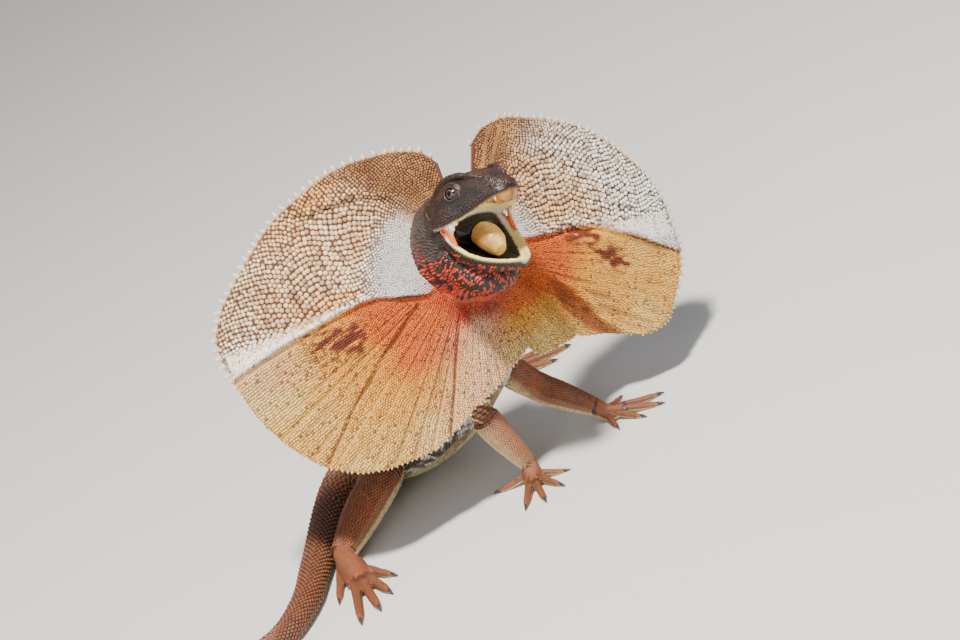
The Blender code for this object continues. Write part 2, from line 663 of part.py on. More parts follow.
def frill_depth(radius, angle):
    """Height of the membrane above the frill's own plane."""
    share = min(radius / frill_radius(angle), 1.1)
    x = radius * math.cos(math.radians(angle))
    sweep = math.tan(math.radians(FRILL_SWEEP))
    depth = -sweep * (math.hypot(x, FRILL_SWEEP_ROUND) - FRILL_SWEEP_ROUND)
    for root, rim, height, width in FRILL_FOLDS:
        middle = root + (rim - root) * share
        depth += height * share * gaussian(angle - middle, width)
    depth += EDGE_RIPPLE * share ** 3 * math.sin(math.radians(angle) * EDGE_RIPPLE_WAVES)
    return depth


def frill_point(radius, angle, back=0.0):
    a = math.radians(angle)
    out = frill_depth(radius, angle) - back
    spot = Vector((out, radius * math.cos(a), radius * math.sin(a)))
    return FRILL_CENTRE + FRILL_AXES @ spot


def solid_finder(objects):
    """A function that gives the signed distance in millimetres from the nearest of the objects."""
    trees = []
    for obj in objects:
        bm = bmesh.new()
        bm.from_mesh(obj.data)
        bmesh.ops.triangulate(bm, faces=bm.faces)
        trees.append(BVHTree.FromBMesh(bm))
        bm.free()

    def distance(point):
        spot = Vector(point) * MM
        nearest = 1e9
        for tree in trees:
            place, normal, _, length = tree.find_nearest(spot)
            sign = 1.0 if (spot - place).dot(normal) >= 0 else -1.0
            nearest = min(nearest, sign * length / MM)
        return nearest
    return distance


def root_radius(angle, back, distance):
    """Smallest radius from which the membrane stays clear of the neck out to its rim."""
    radius = min(ROOT_FAR, frill_radius(angle) * 0.8)
    while radius > ROOT_NEAR and distance(frill_point(radius, angle, back)) > ROOT_CLEAR:
        radius -= 0.5
    low, high = radius, radius + 0.5
    for _ in range(6):
        middle = (low + high) / 2
        if distance(frill_point(middle, angle, back)) > ROOT_CLEAR:
            high = middle
        else:
            low = middle
    return high


def tooth_height(angle):
    if TOOTH_SMALL_TO < angle < TOOTH_SMALL_FROM:
        return TOOTH_SMALL
    return TOOTH_TALL


def make_frill_sector(name, first, last, distance, draw):
    """One stretch of the membrane, its front and back faces split alike."""
    shown = [float(a) for a in range(first, last - 1, -FRILL_STEP)]
    trim = math.degrees(HALF_GAP / TRIM_RADIUS)
    shown[0] -= trim
    shown[-1] += trim
    points, faces = [], []
    index = {}
    for back_side, back in ((0, 0.0), (1, FRILL_THICK)):
        for c, angle in enumerate(shown):
            root = root_radius(angle, back, distance)
            rim = frill_radius(angle)
            for k, share in enumerate(FRILL_RINGS):
                index[back_side, c, k] = len(points)
                points.append(frill_point(root + (rim - root) * share, angle, back))
    rings, cols = len(FRILL_RINGS), len(shown)
    tips = []
    for c in range(cols - 1):
        middle = (shown[c] + shown[c + 1]) / 2
        tall = tooth_height(middle) * draw.uniform(0.8, 1.15)
        reach = frill_radius(middle) + tall
        tips.append((len(points), len(points) + 1))
        points.append(frill_point(reach, middle, FRILL_THICK * 0.35))
        points.append(frill_point(reach, middle, FRILL_THICK * 0.65))
    for c in range(cols - 1):
        for k in range(rings - 1):
            for s in (0, 1):
                a, b = index[s, c, k], index[s, c, k + 1]
                d, e = index[s, c + 1, k], index[s, c + 1, k + 1]
                faces += [(a, b, e), (a, e, d)]
        faces.append((index[0, c, 0], index[0, c + 1, 0], index[1, c + 1, 0], index[1, c, 0]))
        front_tip, back_tip = tips[c]
        f0, f1 = index[0, c, rings - 1], index[0, c + 1, rings - 1]
        b0, b1 = index[1, c, rings - 1], index[1, c + 1, rings - 1]
        faces += [(f0, f1, front_tip), (b0, b1, back_tip)]
        faces += [(f0, front_tip, back_tip, b0), (f1, front_tip, back_tip, b1)]
    for c in (0, cols - 1):
        for k in range(rings - 1):
            faces.append((index[0, c, k], index[0, c, k + 1], index[1, c, k + 1], index[1, c, k]))
    return add_mesh(name, points, faces, "frill_skin")


def limb_segments(limb, trunk):
    """Upper and lower length of a limb, the upper one cut clear of the trunk."""
    rows = LIMBS[limb]
    centres = [Vector(row[0]) for row in rows]
    halves = [row[1] for row in rows]
    upper_name, lower_name, _ = LIMB_NAMES[limb]
    upper_rings = tube_rings(centres, halves, halves, 0, 2, LIMB_STEP, LIMB_SIDES)
    lower_rings = tube_rings(centres, halves, halves, 2, 4, LIMB_STEP, LIMB_SIDES)
    upper = add_mesh(upper_name, *loft(upper_rings), "hide")
    add_mesh(lower_name, *loft(lower_rings), "hide")
    apply_boolean(upper, "DIFFERENCE", [swollen_copy(trunk, GAP)])


def digit(name, start, direction, length, half, colour):
    """A toe that arches a little and comes down on its tip, with a claw."""
    out = Vector((direction[0], direction[1], 0.0))
    base = Vector((start[0], start[1], 0.0))
    points = [base + out * length * share + Vector((0, 0, half * height + lift))
              for share, height, _, lift in DIGIT_PROFILE]
    toe = rod(name, points, [half * row[2] for row in DIGIT_PROFILE], DIGIT_SIDES, colour)
    tip = points[-1]
    claw_points = [tip + out * CLAW_LENGTH * share + Vector((0, 0, lift)) for share, lift, _ in CLAW_PROFILE]
    claw_points.append(tip + out * CLAW_LENGTH - Vector((0, 0, half * 0.5 - CLAW_TIP)))
    thickness = [half * row[2] for row in CLAW_PROFILE] + [CLAW_TIP]
    claw = rod(name + "_claw", claw_points, thickness, 4, colour)
    return [toe, claw]


def make_hand(limb):
    """Palm, five digits and their claws in one piece, with flats under them."""
    rows = LIMBS[limb]
    wrist, half = Vector(rows[-1][0]), rows[-1][1]
    before = Vector(rows[-2][0])
    name = LIMB_NAMES[limb][2]
    line, handed, palm_length, digits = HANDS[limb]
    along = Vector((line[0], line[1], 0.0)).normalized()
    centres = [Vector(row[0]) for row in rows]
    arrive = (smooth_at(centres, 4.0) - smooth_at(centres, 3.96)).normalized()
    palm_end = Vector((wrist.x, wrist.y, 0.0)) + along * palm_length
    palm_end.z = half * PALM_HEIGHTS[2] - SOLE_SINK
    middle = wrist.lerp(palm_end, 0.5)
    middle.z = half * PALM_HEIGHTS[1] - SOLE_SINK
    centres = [wrist + arrive * HALF_GAP, middle, palm_end, palm_end + along * 2.5]
    wide = [half * share for share in PALM_WIDTHS]
    high = [half * share for share in PALM_HEIGHTS]
    turns = (arrive, (arrive + along * 2).normalized(), along, along)
    level = along.cross(Vector((0, 0, 1)))
    rings = [ring_about(c, t, w, h, LIMB_SIDES, level) for c, t, w, h in zip(centres, turns, wide, high)]
    palm = add_mesh(name, *loft(rings), "hide")
    start_line = Vector((wrist.x, wrist.y, 0.0))
    inward = Vector((-along.y, along.x, 0.0)) * handed
    joined = []
    count = len(digits)
    for n, (share, turn, length, thick) in enumerate(digits):
        swing = Matrix.Rotation(math.radians(turn) * handed, 3, "Z")
        direction = swing @ along
        sideways = (n / (count - 1) - 0.5) * half * 1.5
        start = start_line + along * palm_length * share + inward * sideways - direction * 2.0
        joined += digit(f"{name}_digit_{n}", start, direction, length + 2.0, thick, "hide")
    apply_boolean(palm, "UNION", joined)
    return apply_boolean(palm, "DIFFERENCE", [floor_cutter()])


def make_tail():
    starts = (TRUNK_END,) + TAIL_ENDS
    ends = TAIL_ENDS + (len(SPINE_STATIONS) - 1,)
    for n, (start, end) in enumerate(zip(starts, ends)):
        length = spine_tube(f"tail_{n + 1}", start, end, TAIL_STEP, TAIL_SIDES[n], "hide")
        apply_boolean(length, "DIFFERENCE", [floor_cutter()])


def centre_on_origin():
    """Parent everything to one empty that puts the middle of the footprint on the origin."""
    corners = [v.co for obj in bpy.data.objects if obj.type == "MESH" for v in obj.data.vertices]
    low = [min(c[i] for c in corners) for i in range(2)]
    high = [max(c[i] for c in corners) for i in range(2)]
    anchor = bpy.data.objects.new("lizard", None)
    bpy.context.collection.objects.link(anchor)
    for obj in bpy.data.objects:
        if obj.type == "MESH":
            obj.parent = anchor
    anchor.location = (-(low[0] + high[0]) / 2, -(low[1] + high[1]) / 2, 0.0)


def main():
    clear_scene()
    head = make_head()
    jaw = make_lower_jaw()
    make_eyes_and_ears()
    neck = make_neck(head, jaw)
    make_tongue(jaw, neck)
    for side, word in ((-1, "right"), (1, "left")):
        make_cheek(side, word)
    trunk = spine_tube("torso", NECK_END, TRUNK_END, 0.5, TUBE_SIDES, "hide")
    distance = solid_finder([neck, trunk, head])
    draw = random.Random(7)
    for name, first, last in FRILL_SECTORS:
        make_frill_sector(name, first, last, distance, draw)
    make_tail()
    for limb in LIMBS:
        limb_segments(limb, trunk)
        make_hand(limb)
    centre_on_origin()


main()
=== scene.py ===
import math

import bmesh
import bpy
import numpy as np
from mathutils import Matrix, Vector
from mathutils.bvhtree import BVHTree


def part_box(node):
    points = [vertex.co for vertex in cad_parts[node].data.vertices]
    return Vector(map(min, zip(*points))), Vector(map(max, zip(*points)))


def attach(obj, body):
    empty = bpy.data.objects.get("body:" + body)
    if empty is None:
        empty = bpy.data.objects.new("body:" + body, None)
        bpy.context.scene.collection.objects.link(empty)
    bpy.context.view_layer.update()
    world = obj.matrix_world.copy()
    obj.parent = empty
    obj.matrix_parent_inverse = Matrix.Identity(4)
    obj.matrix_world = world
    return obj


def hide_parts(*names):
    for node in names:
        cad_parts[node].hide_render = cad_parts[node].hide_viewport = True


# Tables are in millimetres above the floor, in the animal's own frame, as in the part's source
MM = 0.001
HEAD_ORIGIN = np.array((9.1, -20.0, 169.2))
HEAD_YAW, HEAD_PITCH, HEAD_ROLL = 4.3, 18.0, 18.5
GAPE = 46.0
JAW_SAG, JAW_LENGTH = 6.5, 52.0
SNOUT_LIFT, SNOUT_START, SNOUT_END = 4.6, 16.0, 46.0
EYE_RADIUS = 5.8
EYE_PLACE = (17.0, 16.2, 14.8)
EYE_LOOK = (0.26, 1.0, 0.16)
# Radius and height over the eye's middle of the folds that make the lids
LID_PROFILE = (
    (3.7, 4.3), (3.9, 4.75), (4.3, 4.9), (4.65, 4.5), (5.05, 4.6), (5.5, 4.45), (5.9, 3.95),
    (6.4, 3.95), (6.9, 3.45), (7.6, 2.3), (8.4, 0.6),
)
# Radius and height over the eye's middle of the rings of lid scales
LID_RINGS, LID_SPACING = ((5.05, 4.55), (5.75, 4.05), (6.75, 3.55), (7.5, 2.4), (8.3, 1.1)), 0.95
EAR_PLACE, EAR_RADIUS = (-4.5, 24.6, 12.5), 4.3

# Half width by distance along the skull and along the jaw
SKULL_WIDTHS = (
    (-20.0, 20.0), (-12.0, 23.5), (-3.0, 25.6), (6.0, 26.0), (14.0, 24.4), (22.0, 21.0), (29.0, 17.6),
    (34.5, 14.6), (39.5, 11.8), (43.5, 9.4), (46.2, 6.8), (47.8, 4.2), (48.6, 2.0),
)
JAW_WIDTHS = (
    (1.2, 24.5), (9.0, 25.2), (18.0, 24.0), (27.0, 21.0), (35.0, 17.0), (42.0, 12.8), (47.5, 8.7),
    (51.5, 4.4), (53.0, 1.5),
)
# Centre and half width along neck, trunk and tail
SPINE = (
    ((10.5, -10.0, 173.0), 19.0), ((10.6, 2.0, 166.5), 22.0), ((13.5, 10.5, 150.0), 27.5),
    ((17.0, 17.0, 126.0), 26.5), ((19.0, 23.5, 101.0), 24.5), ((19.0, 33.5, 77.0), 26.0),
    ((15.0, 51.0, 60.0), 27.5), ((7.0, 74.0, 44.0), 31.5), ((-3.0, 98.0, 33.0), 33.0),
    ((-11.0, 117.0, 26.5), 29.0), ((-19.0, 133.0, 20.5), 21.0), ((-31.0, 143.5, 15.0), 14.2),
    ((-49.0, 141.0, 12.0), 12.2), ((-74.0, 127.0, 10.8), 11.1), ((-101.0, 109.5, 9.9), 10.2),
    ((-130.0, 91.0, 9.1), 9.4), ((-161.0, 72.0, 8.3), 8.6), ((-197.0, 63.0, 7.4), 7.8),
    ((-231.0, 83.0, 6.6), 7.1), ((-248.0, 130.0, 5.9), 6.3), ((-252.0, 184.0, 5.2), 5.5),
    ((-248.0, 240.0, 4.4), 4.7), ((-243.0, 290.0, 3.6), 3.9), ((-240.0, 340.0, 2.8), 3.1),
    ((-240.0, 385.0, 2.1), 2.3), ((-242.0, 420.0, 1.3), 1.4),
)
LIMBS = {
    "arm_right": (
        ((8.0, 37.0, 75.0), 10.5), ((-8.0, 27.0, 69.0), 11.0), ((-23.5, 10.0, 58.0), 9.4),
        ((-19.5, 6.5, 36.0), 8.8), ((-12.5, 1.5, 10.5), 5.8),
    ),
    "arm_left": (
        ((27.0, 38.0, 71.0), 10.5), ((33.5, 36.0, 54.0), 11.0), ((43.0, 28.0, 34.0), 9.4),
        ((47.0, 12.0, 22.0), 8.8), ((51.0, -7.0, 10.5), 5.8),
    ),
    "leg_right": (
        ((-18.0, 126.0, 24.0), 13.0), ((-35.0, 108.0, 24.5), 16.5), ((-48.0, 91.5, 26.0), 13.0),
        ((-79.0, 88.0, 18.0), 12.2), ((-109.0, 83.0, 10.0), 7.8),
    ),
    "leg_left": (
        ((-12.0, 131.0, 22.5), 12.0), ((14.0, 123.0, 26.0), 15.5), ((38.0, 112.0, 28.0), 12.6),
        ((60.0, 129.0, 19.0), 12.2), ((82.0, 142.0, 10.0), 7.8),
    ),
}
HANDS = {
    "arm_right": ((-0.72, -0.69), 1, 12.0, (
        (0.35, -100.0, 19.0, 2.3), (0.85, -14.0, 29.0, 2.6), (0.95, 6.0, 28.0, 2.6),
        (0.85, 34.0, 22.0, 2.4), (0.55, 72.0, 15.0, 2.2))),
    "arm_left": ((0.42, -0.91), -1, 12.0, (
        (0.35, -78.0, 19.0, 2.3), (0.85, -22.0, 28.0, 2.6), (0.95, 2.0, 28.0, 2.6),
        (0.85, 26.0, 22.0, 2.4), (0.55, 58.0, 15.0, 2.2))),
    "leg_right": ((-0.55, -0.836), 1, 33.0, (
        (0.22, -19.0, 36.0, 2.7), (0.90, -12.0, 54.0, 3.1), (0.95, -1.0, 47.0, 3.2),
        (0.96, 12.0, 34.0, 3.1), (0.80, 32.0, 22.0, 2.8))),
    "leg_left": ((0.80, -0.60), -1, 33.0, (
        (0.22, -30.0, 36.0, 2.7), (0.90, -14.0, 54.0, 3.1), (0.95, -1.0, 47.0, 3.2),
        (0.96, 14.0, 34.0, 3.1), (0.80, 34.0, 22.0, 2.8))),
}
FRILL_CENTRE = np.array((18.6, 2.1, 144.5))
FRILL_YAW, FRILL_PITCH, FRILL_ROLL = 17.0, 15.0, 18.0
FRILL_SWEEP, FRILL_SWEEP_ROUND = 13.0, 15.0
FRILL_OUTLINE = (
    (72, 66), (67, 77), (58, 88), (46, 99), (36, 111), (27, 125), (17, 137), (8, 147), (0, 155),
    (-9, 159), (-15, 159), (-23, 153), (-29, 148), (-34, 138), (-38, 112), (-46, 91), (-57, 83),
    (-67, 78), (-72, 69), (-86, 76), (-97, 87), (-104, 96), (-109, 109), (-114, 122), (-121, 133),
    (-126, 142), (-131, 150), (-138, 156), (-148, 160), (-158, 162.5), (-168, 162.5), (-175, 160),
    (-181, 152), (-188, 139), (-195, 128), (-203, 118), (-212, 107), (-223, 96), (-237, 82),
    (-249, 72.5), (-258, 66), (-264, 56),
)
FRILL_FOLDS = (
    (-14, -31, 9.0, 6.0), (-30, -41, -15.0, 6.5), (-100, -96, 3.0, 7.0), (-117, -114, -3.5, 4.0),
    (-147, -138, -3.0, 5.0), (-133, -127, 2.5, 5.0), (-159, -164, 2.5, 4.0), (0, -9, 3.0, 4.5),
    (40, 34, -2.5, 8.0), (-205, -200, -2.5, 9.0),
)
EDGE_RIPPLE, EDGE_RIPPLE_WAVES = 1.6, 13
FRILL_THICK = 1.3
FRILL_FIRST, FRILL_LAST = 72.0, -264.0
# Lines across the membrane as angle by radius: the stiff rods that part its upper lobes from the rest,
# the crest of the pleat, and creases
ROD_LEFT = ((40, 1.0), (58, 0.6), (76, 1.3), (94, -0.5), (113, -4.3), (137, -8.3), (156, -10.5))
ROD_RIGHT = ((36, -150), (48, -160), (64, -168.5), (75, -170), (106, -168.5), (118, -168), (162, -166))
PLEAT = ((40, -25), (62, -27.5), (87, -31.5), (106, -35.0), (125, -36.0))
CREASE_RIGHT = ((44, -150), (77, -145), (118, -141), (156, -138))
CREASE_DEEP = ((36, -116), (83, -112), (120, -111))
CREASE_TOP = ((36, -232), (57, -228.3), (71, -222.4), (84, -215.6), (100, -207))
POCKET_EDGE = ((45, -26), (59, -28.5), (75, -36.9), (98, -39.4), (126, -38), (143, -37.1))
# Each line with the height and width of its ridge, and the side step and depth of the groove beside it
FRILL_LINES = (
    (ROD_LEFT, 2.0, 2.2, -4.0, 1.6), (ROD_RIGHT, 2.0, 2.4, 4.2, 1.6), (PLEAT, 2.2, 2.6, -5.0, 2.0),
    (CREASE_RIGHT, 0.8, 1.6, 2.2, 1.0), (CREASE_DEEP, 1.0, 2.0, 2.6, 2.4), (CREASE_TOP, 1.2, 2.6, 4.0, 1.8),
)

# Depth of the bed under the scales, grain of the skin's mesh, and reach of the eyeball's weld
SCALE_BED = 0.45
VOXEL = 0.6
WELD = 0.02
# Width of one scale's patch on the OFBake map, and the membrane radius that fills the map
CHART_PATCH = 0.0028
CHART_REACH = 165
HEAD_FLESH = ("head", "lower_jaw", "neck", "cheek_left", "cheek_right", "ear_left", "ear_right")
BODY_FLESH = ("torso", "tail_1", "tail_2", "tail_3", "tail_4", "upper_arm_right", "forearm_right",
              "hand_right", "upper_arm_left", "forearm_left", "hand_left", "thigh_right", "shank_right",
              "foot_right", "thigh_left", "shank_left", "foot_left")
FLESH = HEAD_FLESH + BODY_FLESH
SIDES = ((1, "left"), (-1, "right"))

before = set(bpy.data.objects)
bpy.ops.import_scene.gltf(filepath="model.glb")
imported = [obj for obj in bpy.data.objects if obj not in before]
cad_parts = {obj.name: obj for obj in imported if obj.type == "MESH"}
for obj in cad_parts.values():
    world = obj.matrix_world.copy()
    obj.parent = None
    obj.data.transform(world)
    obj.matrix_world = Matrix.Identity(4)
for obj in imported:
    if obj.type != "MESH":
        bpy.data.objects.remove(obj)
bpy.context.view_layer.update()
draw = np.random.default_rng(11)


def own_axes(yaw, pitch, roll):
    """Columns forward, left and up; yaw turns to the animal's right, roll drops its left."""
    y, p, r = (math.radians(a) for a in (yaw, pitch, roll))
    forward = np.array((-math.sin(y) * math.cos(p), -math.cos(y) * math.cos(p), math.sin(p)))
    left = np.array((math.cos(y), -math.sin(y), 0.0))
    up = np.cross(forward, left)
    tilted_left = left * math.cos(r) - up * math.sin(r)
    tilted_up = up * math.cos(r) + left * math.sin(r)
    return np.column_stack((forward, tilted_left, tilted_up))


def smooth(low, high, x):
    """0 at low, 1 at high, and a soft step between."""
    t = np.clip((np.asarray(x, float) - low) / (high - low), 0, 1)
    return t * t * (3 - 2 * t)


HEAD_AXES = own_axes(HEAD_YAW, HEAD_PITCH, HEAD_ROLL)
JAW_AXES = HEAD_AXES @ np.array(Matrix.Rotation(math.radians(GAPE), 3, "Y"))
FRILL_AXES = own_axes(FRILL_YAW, FRILL_PITCH, FRILL_ROLL)


def jaw_sag(x):
    return JAW_SAG * np.sin(math.pi * np.clip(np.asarray(x, float) / JAW_LENGTH, 0, 1))


def snout_lift(x):
    return SNOUT_LIFT * smooth(SNOUT_START, SNOUT_END, x)


def head_point(x, y, z):
    return HEAD_ORIGIN + HEAD_AXES @ np.array((x, y, z + float(snout_lift(x))))


def jaw_point(x, y, z):
    return HEAD_ORIGIN + JAW_AXES @ np.array((x, y, z - float(jaw_sag(x))))


def in_head(points):
    places = (points - HEAD_ORIGIN) @ HEAD_AXES
    places[:, 2] -= snout_lift(places[:, 0])
    return places


def in_jaw(points):
    places = (points - HEAD_ORIGIN) @ JAW_AXES
    places[:, 2] += jaw_sag(places[:, 0])
    return places


def in_frill(points):
    """Distance ahead of the membrane's centre, radius and angle."""
    f = (points - FRILL_CENTRE) @ FRILL_AXES
    angle = np.degrees(np.arctan2(f[:, 2], f[:, 1]))
    angle = np.where(angle > 84.0, angle - 360.0, angle)
    return f[:, 0], np.hypot(f[:, 1], f[:, 2]), angle


def find_shift():
    """Where the tables' origin lies in the frame, read from the right eye."""
    low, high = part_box("eye_right")
    middle = np.array((low + high) / 2)
    return middle - head_point(EYE_PLACE[0], -EYE_PLACE[1], EYE_PLACE[2]) * MM


SHIFT = find_shift()


def to_frame(points):
    return np.asarray(points) * MM + SHIFT


def to_tables(points):
    return (np.asarray(points) - SHIFT) / MM


# Numbers


def between(table, x):
    rows = sorted(table)
    return np.interp(x, [row[0] for row in rows], [row[1] for row in rows])


def bump(x, middle, width):
    return np.exp(-((np.asarray(x, float) - middle) / width) ** 2)


def lattice_noise(points, size, seed):
    """Smooth noise from -1 to 1 with lumps of the given size."""
    p = np.asarray(points, float) / size + seed * 17.31
    cell = np.floor(p).astype(np.int64)
    f = p - cell
    f = f * f * (3 - 2 * f)
    total = np.zeros(len(p))
    for corner in range(8):
        step = np.array((corner & 1, corner >> 1 & 1, corner >> 2 & 1))
        c = cell + step
        h = (c[:, 0] * 73856093) ^ (c[:, 1] * 19349663) ^ (c[:, 2] * 83492791) ^ (seed * 2654435)
        h = (h ^ (h >> 13)) * 1274126177
        value = ((h ^ (h >> 16)) & 0xFFFF) / 32767.5 - 1
        total += value * np.prod(np.where(step == 1, f, 1 - f), axis=1)
    return total


def unit(v):
    return v / np.maximum(np.linalg.norm(v, axis=-1, keepdims=True), 1e-9)


def catmull(rows, step):
    """Points and widths along a smooth curve through the rows, about step apart."""
    values = np.array([list(p) + [w] for p, w in rows], float)
    out = []
    for k in range(len(values) - 1):
        p1, p2 = values[k], values[k + 1]
        p0 = values[k - 1] if k else 2 * p1 - p2
        p3 = values[k + 2] if k + 2 < len(values) else 2 * p2 - p1
        count = max(2, int(np.linalg.norm((p2 - p1)[:3]) / step))
        for n in range(count):
            f = n / count
            m1, m2 = (p2 - p0) / 2, (p3 - p1) / 2
            out.append(p1 * (2 * f**3 - 3 * f**2 + 1) + m1 * (f**3 - 2 * f**2 + f)
                       + p2 * (3 * f**2 - 2 * f**3) + m2 * (f**3 - f**2))
    out.append(values[-1])
    return np.array(out)


# The lines that the body grows along


def digit_rows(limb):
    """Start, direction, length and half thickness of each digit of a hand or foot."""
    wrist, half = LIMBS[limb][-1]
    line, handed, palm, digits = HANDS[limb]
    along = unit(np.array((line[0], line[1], 0.0)))
    inward = np.array((-along[1], along[0], 0.0)) * handed
    rows = []
    for n, (share, turn, length, thick) in enumerate(digits):
        a = math.radians(turn) * handed
        swing = np.array(((math.cos(a), -math.sin(a), 0), (math.sin(a), math.cos(a), 0), (0, 0, 1)))
        out = swing @ along
        sideways = (n / (len(digits) - 1) - 0.5) * half * 1.5
        start = np.array((wrist[0], wrist[1], 0.0)) + along * palm * share + inward * sideways - out * 2.0
        rows.append((start, out, length + 2.0, thick))
    return rows


def axis_lines():
    """Named curves through the body, each with points and widths."""
    lines = {"spine": catmull(SPINE, 2.0)}
    for limb, rows in LIMBS.items():
        lines[limb] = catmull(rows, 2.0)
        line, _, palm, _ = HANDS[limb]
        along = unit(np.array((line[0], line[1], 0.0)))
        wrist, half = np.array(rows[-1][0]), rows[-1][1]
        end = np.array((wrist[0], wrist[1], half * 0.6)) + along * (palm + 4.0)
        lines[limb + "_palm"] = catmull(((wrist, half), (end, half * 0.8)), 2.0)
        for n, (start, out, length, thick) in enumerate(digit_rows(limb)):
            tip = start + out * length
            lines[f"{limb}_digit_{n}"] = catmull(
                ((start + (0, 0, thick + 1.5), thick * 1.1), (tip + (0, 0, thick * 0.6), thick * 0.6)), 2.0)
    return lines


LINES = axis_lines()
LINE_NAMES = list(LINES)
LINE_POINTS = np.concatenate([LINES[n][:, :3] for n in LINE_NAMES])
LINE_WIDTHS = np.concatenate([LINES[n][:, 3] for n in LINE_NAMES])
LINE_OWNER = np.concatenate([np.full(len(LINES[n]), i) for i, n in enumerate(LINE_NAMES)])


def nearest_line(points):
    """For each point the number of the line that it grows round."""
    best = np.empty(len(points), int)
    for start in range(0, len(points), 4000):
        block = points[start:start + 4000]
        gap = np.linalg.norm(block[:, None, :] - LINE_POINTS[None], axis=2) - LINE_WIDTHS[None]
        best[start:start + 4000] = gap.argmin(axis=1)
    return LINE_OWNER[best]


# Meshes


def mesh_object(name, points, faces, colours=None, flat=False):
    """A mesh in the frame from points in the tables' millimetres, its faces all of one count."""
    mesh = bpy.data.meshes.new(name)
    faces = np.asarray(faces, np.int32)
    mesh.vertices.add(len(points))
    mesh.vertices.foreach_set("co", to_frame(points).astype(np.float32).ravel())
    mesh.loops.add(faces.size)
    mesh.loops.foreach_set("vertex_index", faces.ravel())
    mesh.polygons.add(len(faces))
    mesh.polygons.foreach_set("loop_start", np.arange(0, faces.size, faces.shape[1], dtype=np.int32))
    mesh.polygons.foreach_set("loop_total", np.full(len(faces), faces.shape[1], np.int32))
    mesh.update(calc_edges=True)
    if flat:
        mesh.shade_flat()
    else:
        mesh.shade_smooth()
    if colours is not None:
        paint(mesh, colours)
    obj = bpy.data.objects.new(name, mesh)
    bpy.context.scene.collection.objects.link(obj)
    return obj


def paint(mesh, colours):
    layer = mesh.color_attributes.new("Colour", "FLOAT_COLOR", "POINT")
    rgba = np.ones((len(colours), 4), np.float32)
    rgba[:, :3] = colours
    layer.data.foreach_set("color", rgba.ravel())


def move_points(obj, points):
    obj.data.vertices.foreach_set("co", to_frame(points).astype(np.float32).ravel())
    obj.data.update()
    obj.data.shade_smooth()


def turn_outward(mesh, weld=0.0):
    """Turn the faces outward, after joining points that lie closer than weld."""
    bm = bmesh.new()
    bm.from_mesh(mesh)
    if weld:
        bmesh.ops.remove_doubles(bm, verts=bm.verts, dist=weld * MM)
    bmesh.ops.recalc_face_normals(bm, faces=bm.faces)
    bm.to_mesh(mesh)
    bm.free()


def bake_chart(piece, places):
    """The OFBake map, from one place for each point."""
    corners = np.empty(len(piece.data.loops), np.int32)
    piece.data.loops.foreach_get("vertex_index", corners)
    uv = piece.data.uv_layers.new(name="OFBake")
    uv.data.foreach_set("uv", places[corners].astype(np.float32).ravel())


def finished(piece, material):
    """Give a piece its material and its body."""
    piece.data.materials.append(material)
    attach(piece, "root")
    return piece


def ring_faces(rows, turns, start=0):
    """Quads between neighbouring rings of points."""
    faces = []
    for k in range(rows):
        for t in range(turns):
            p, q = start + k * turns + t, start + k * turns + (t + 1) % turns
            faces.append((p, p + turns, q + turns, q))
    return faces


def read_mesh(mesh):
    points = np.empty(len(mesh.vertices) * 3)
    mesh.vertices.foreach_get("co", points)
    normals = np.empty(len(mesh.vertices) * 3)
    mesh.vertices.foreach_get("normal", normals)
    return to_tables(points.reshape(-1, 3)), normals.reshape(-1, 3)


def apply_modifiers(obj):
    depsgraph = bpy.context.evaluated_depsgraph_get()
    mesh = bpy.data.meshes.new_from_object(obj.evaluated_get(depsgraph))
    obj.modifiers.clear()
    obj.data = mesh


def joined_flesh(names, grow):
    """One mesh of the named solids, each swollen a little so that the gaps between them close."""
    bm = bmesh.new()
    for name in names:
        start = len(bm.verts)
        bm.from_mesh(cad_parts[name].data)
        bm.verts.ensure_lookup_table()
        bm.normal_update()
        for vert in bm.verts[start:]:
            vert.co += vert.normal * grow * MM
    mesh = bpy.data.meshes.new("flesh")
    bm.to_mesh(mesh)
    bm.free()
    obj = bpy.data.objects.new("flesh", mesh)
    bpy.context.scene.collection.objects.link(obj)
    return obj


def voxel_form(obj, size, rounds):
    remesh = obj.modifiers.new("one_surface", "REMESH")
    remesh.mode = "VOXEL"
    remesh.voxel_size = size * MM
    even = obj.modifiers.new("even", "SMOOTH")
    even.factor = 0.5
    even.iterations = rounds
    apply_modifiers(obj)


def thin_body(obj):
    """Fewer faces on the body and limbs, where the scales hide the skin; the head keeps all its own."""
    points, _ = read_mesh(obj.data)
    ahead, _, _ = in_frill(points)
    near_head = (ahead > -6.0) & (points[:, 2] > 100.0)
    group = obj.vertex_groups.new(name="body")
    group.add(np.nonzero(~near_head)[0].tolist(), 1.0, "REPLACE")
    thin = obj.modifiers.new("thin", "DECIMATE")
    thin.ratio = 0.34
    thin.vertex_group = "body"
    apply_modifiers(obj)
    obj.vertex_groups.clear()


def node_search():
    """A search tree over the flesh solids, and the number in FLESH of the node that owns each face."""
    places, faces, owners = [], [], []
    for number, name in enumerate(FLESH):
        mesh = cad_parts[name].data
        start = len(places)
        places += [tuple(row) for row in read_mesh(mesh)[0]]
        for polygon in mesh.polygons:
            faces.append([start + v for v in polygon.vertices])
            owners.append(number)
    return BVHTree.FromPolygons(places, faces), np.array(owners)


def node_at(points):
    """For each point the number in FLESH of the nearest node."""
    return NODE_OWNERS[[NODE_TREE.find_nearest(Vector(p))[2] for p in points]]


NODE_TREE, NODE_OWNERS = node_search()


def is_node(owner, *names):
    return np.isin(owner, [FLESH.index(name) for name in names])


# Where the mouth's lining lies


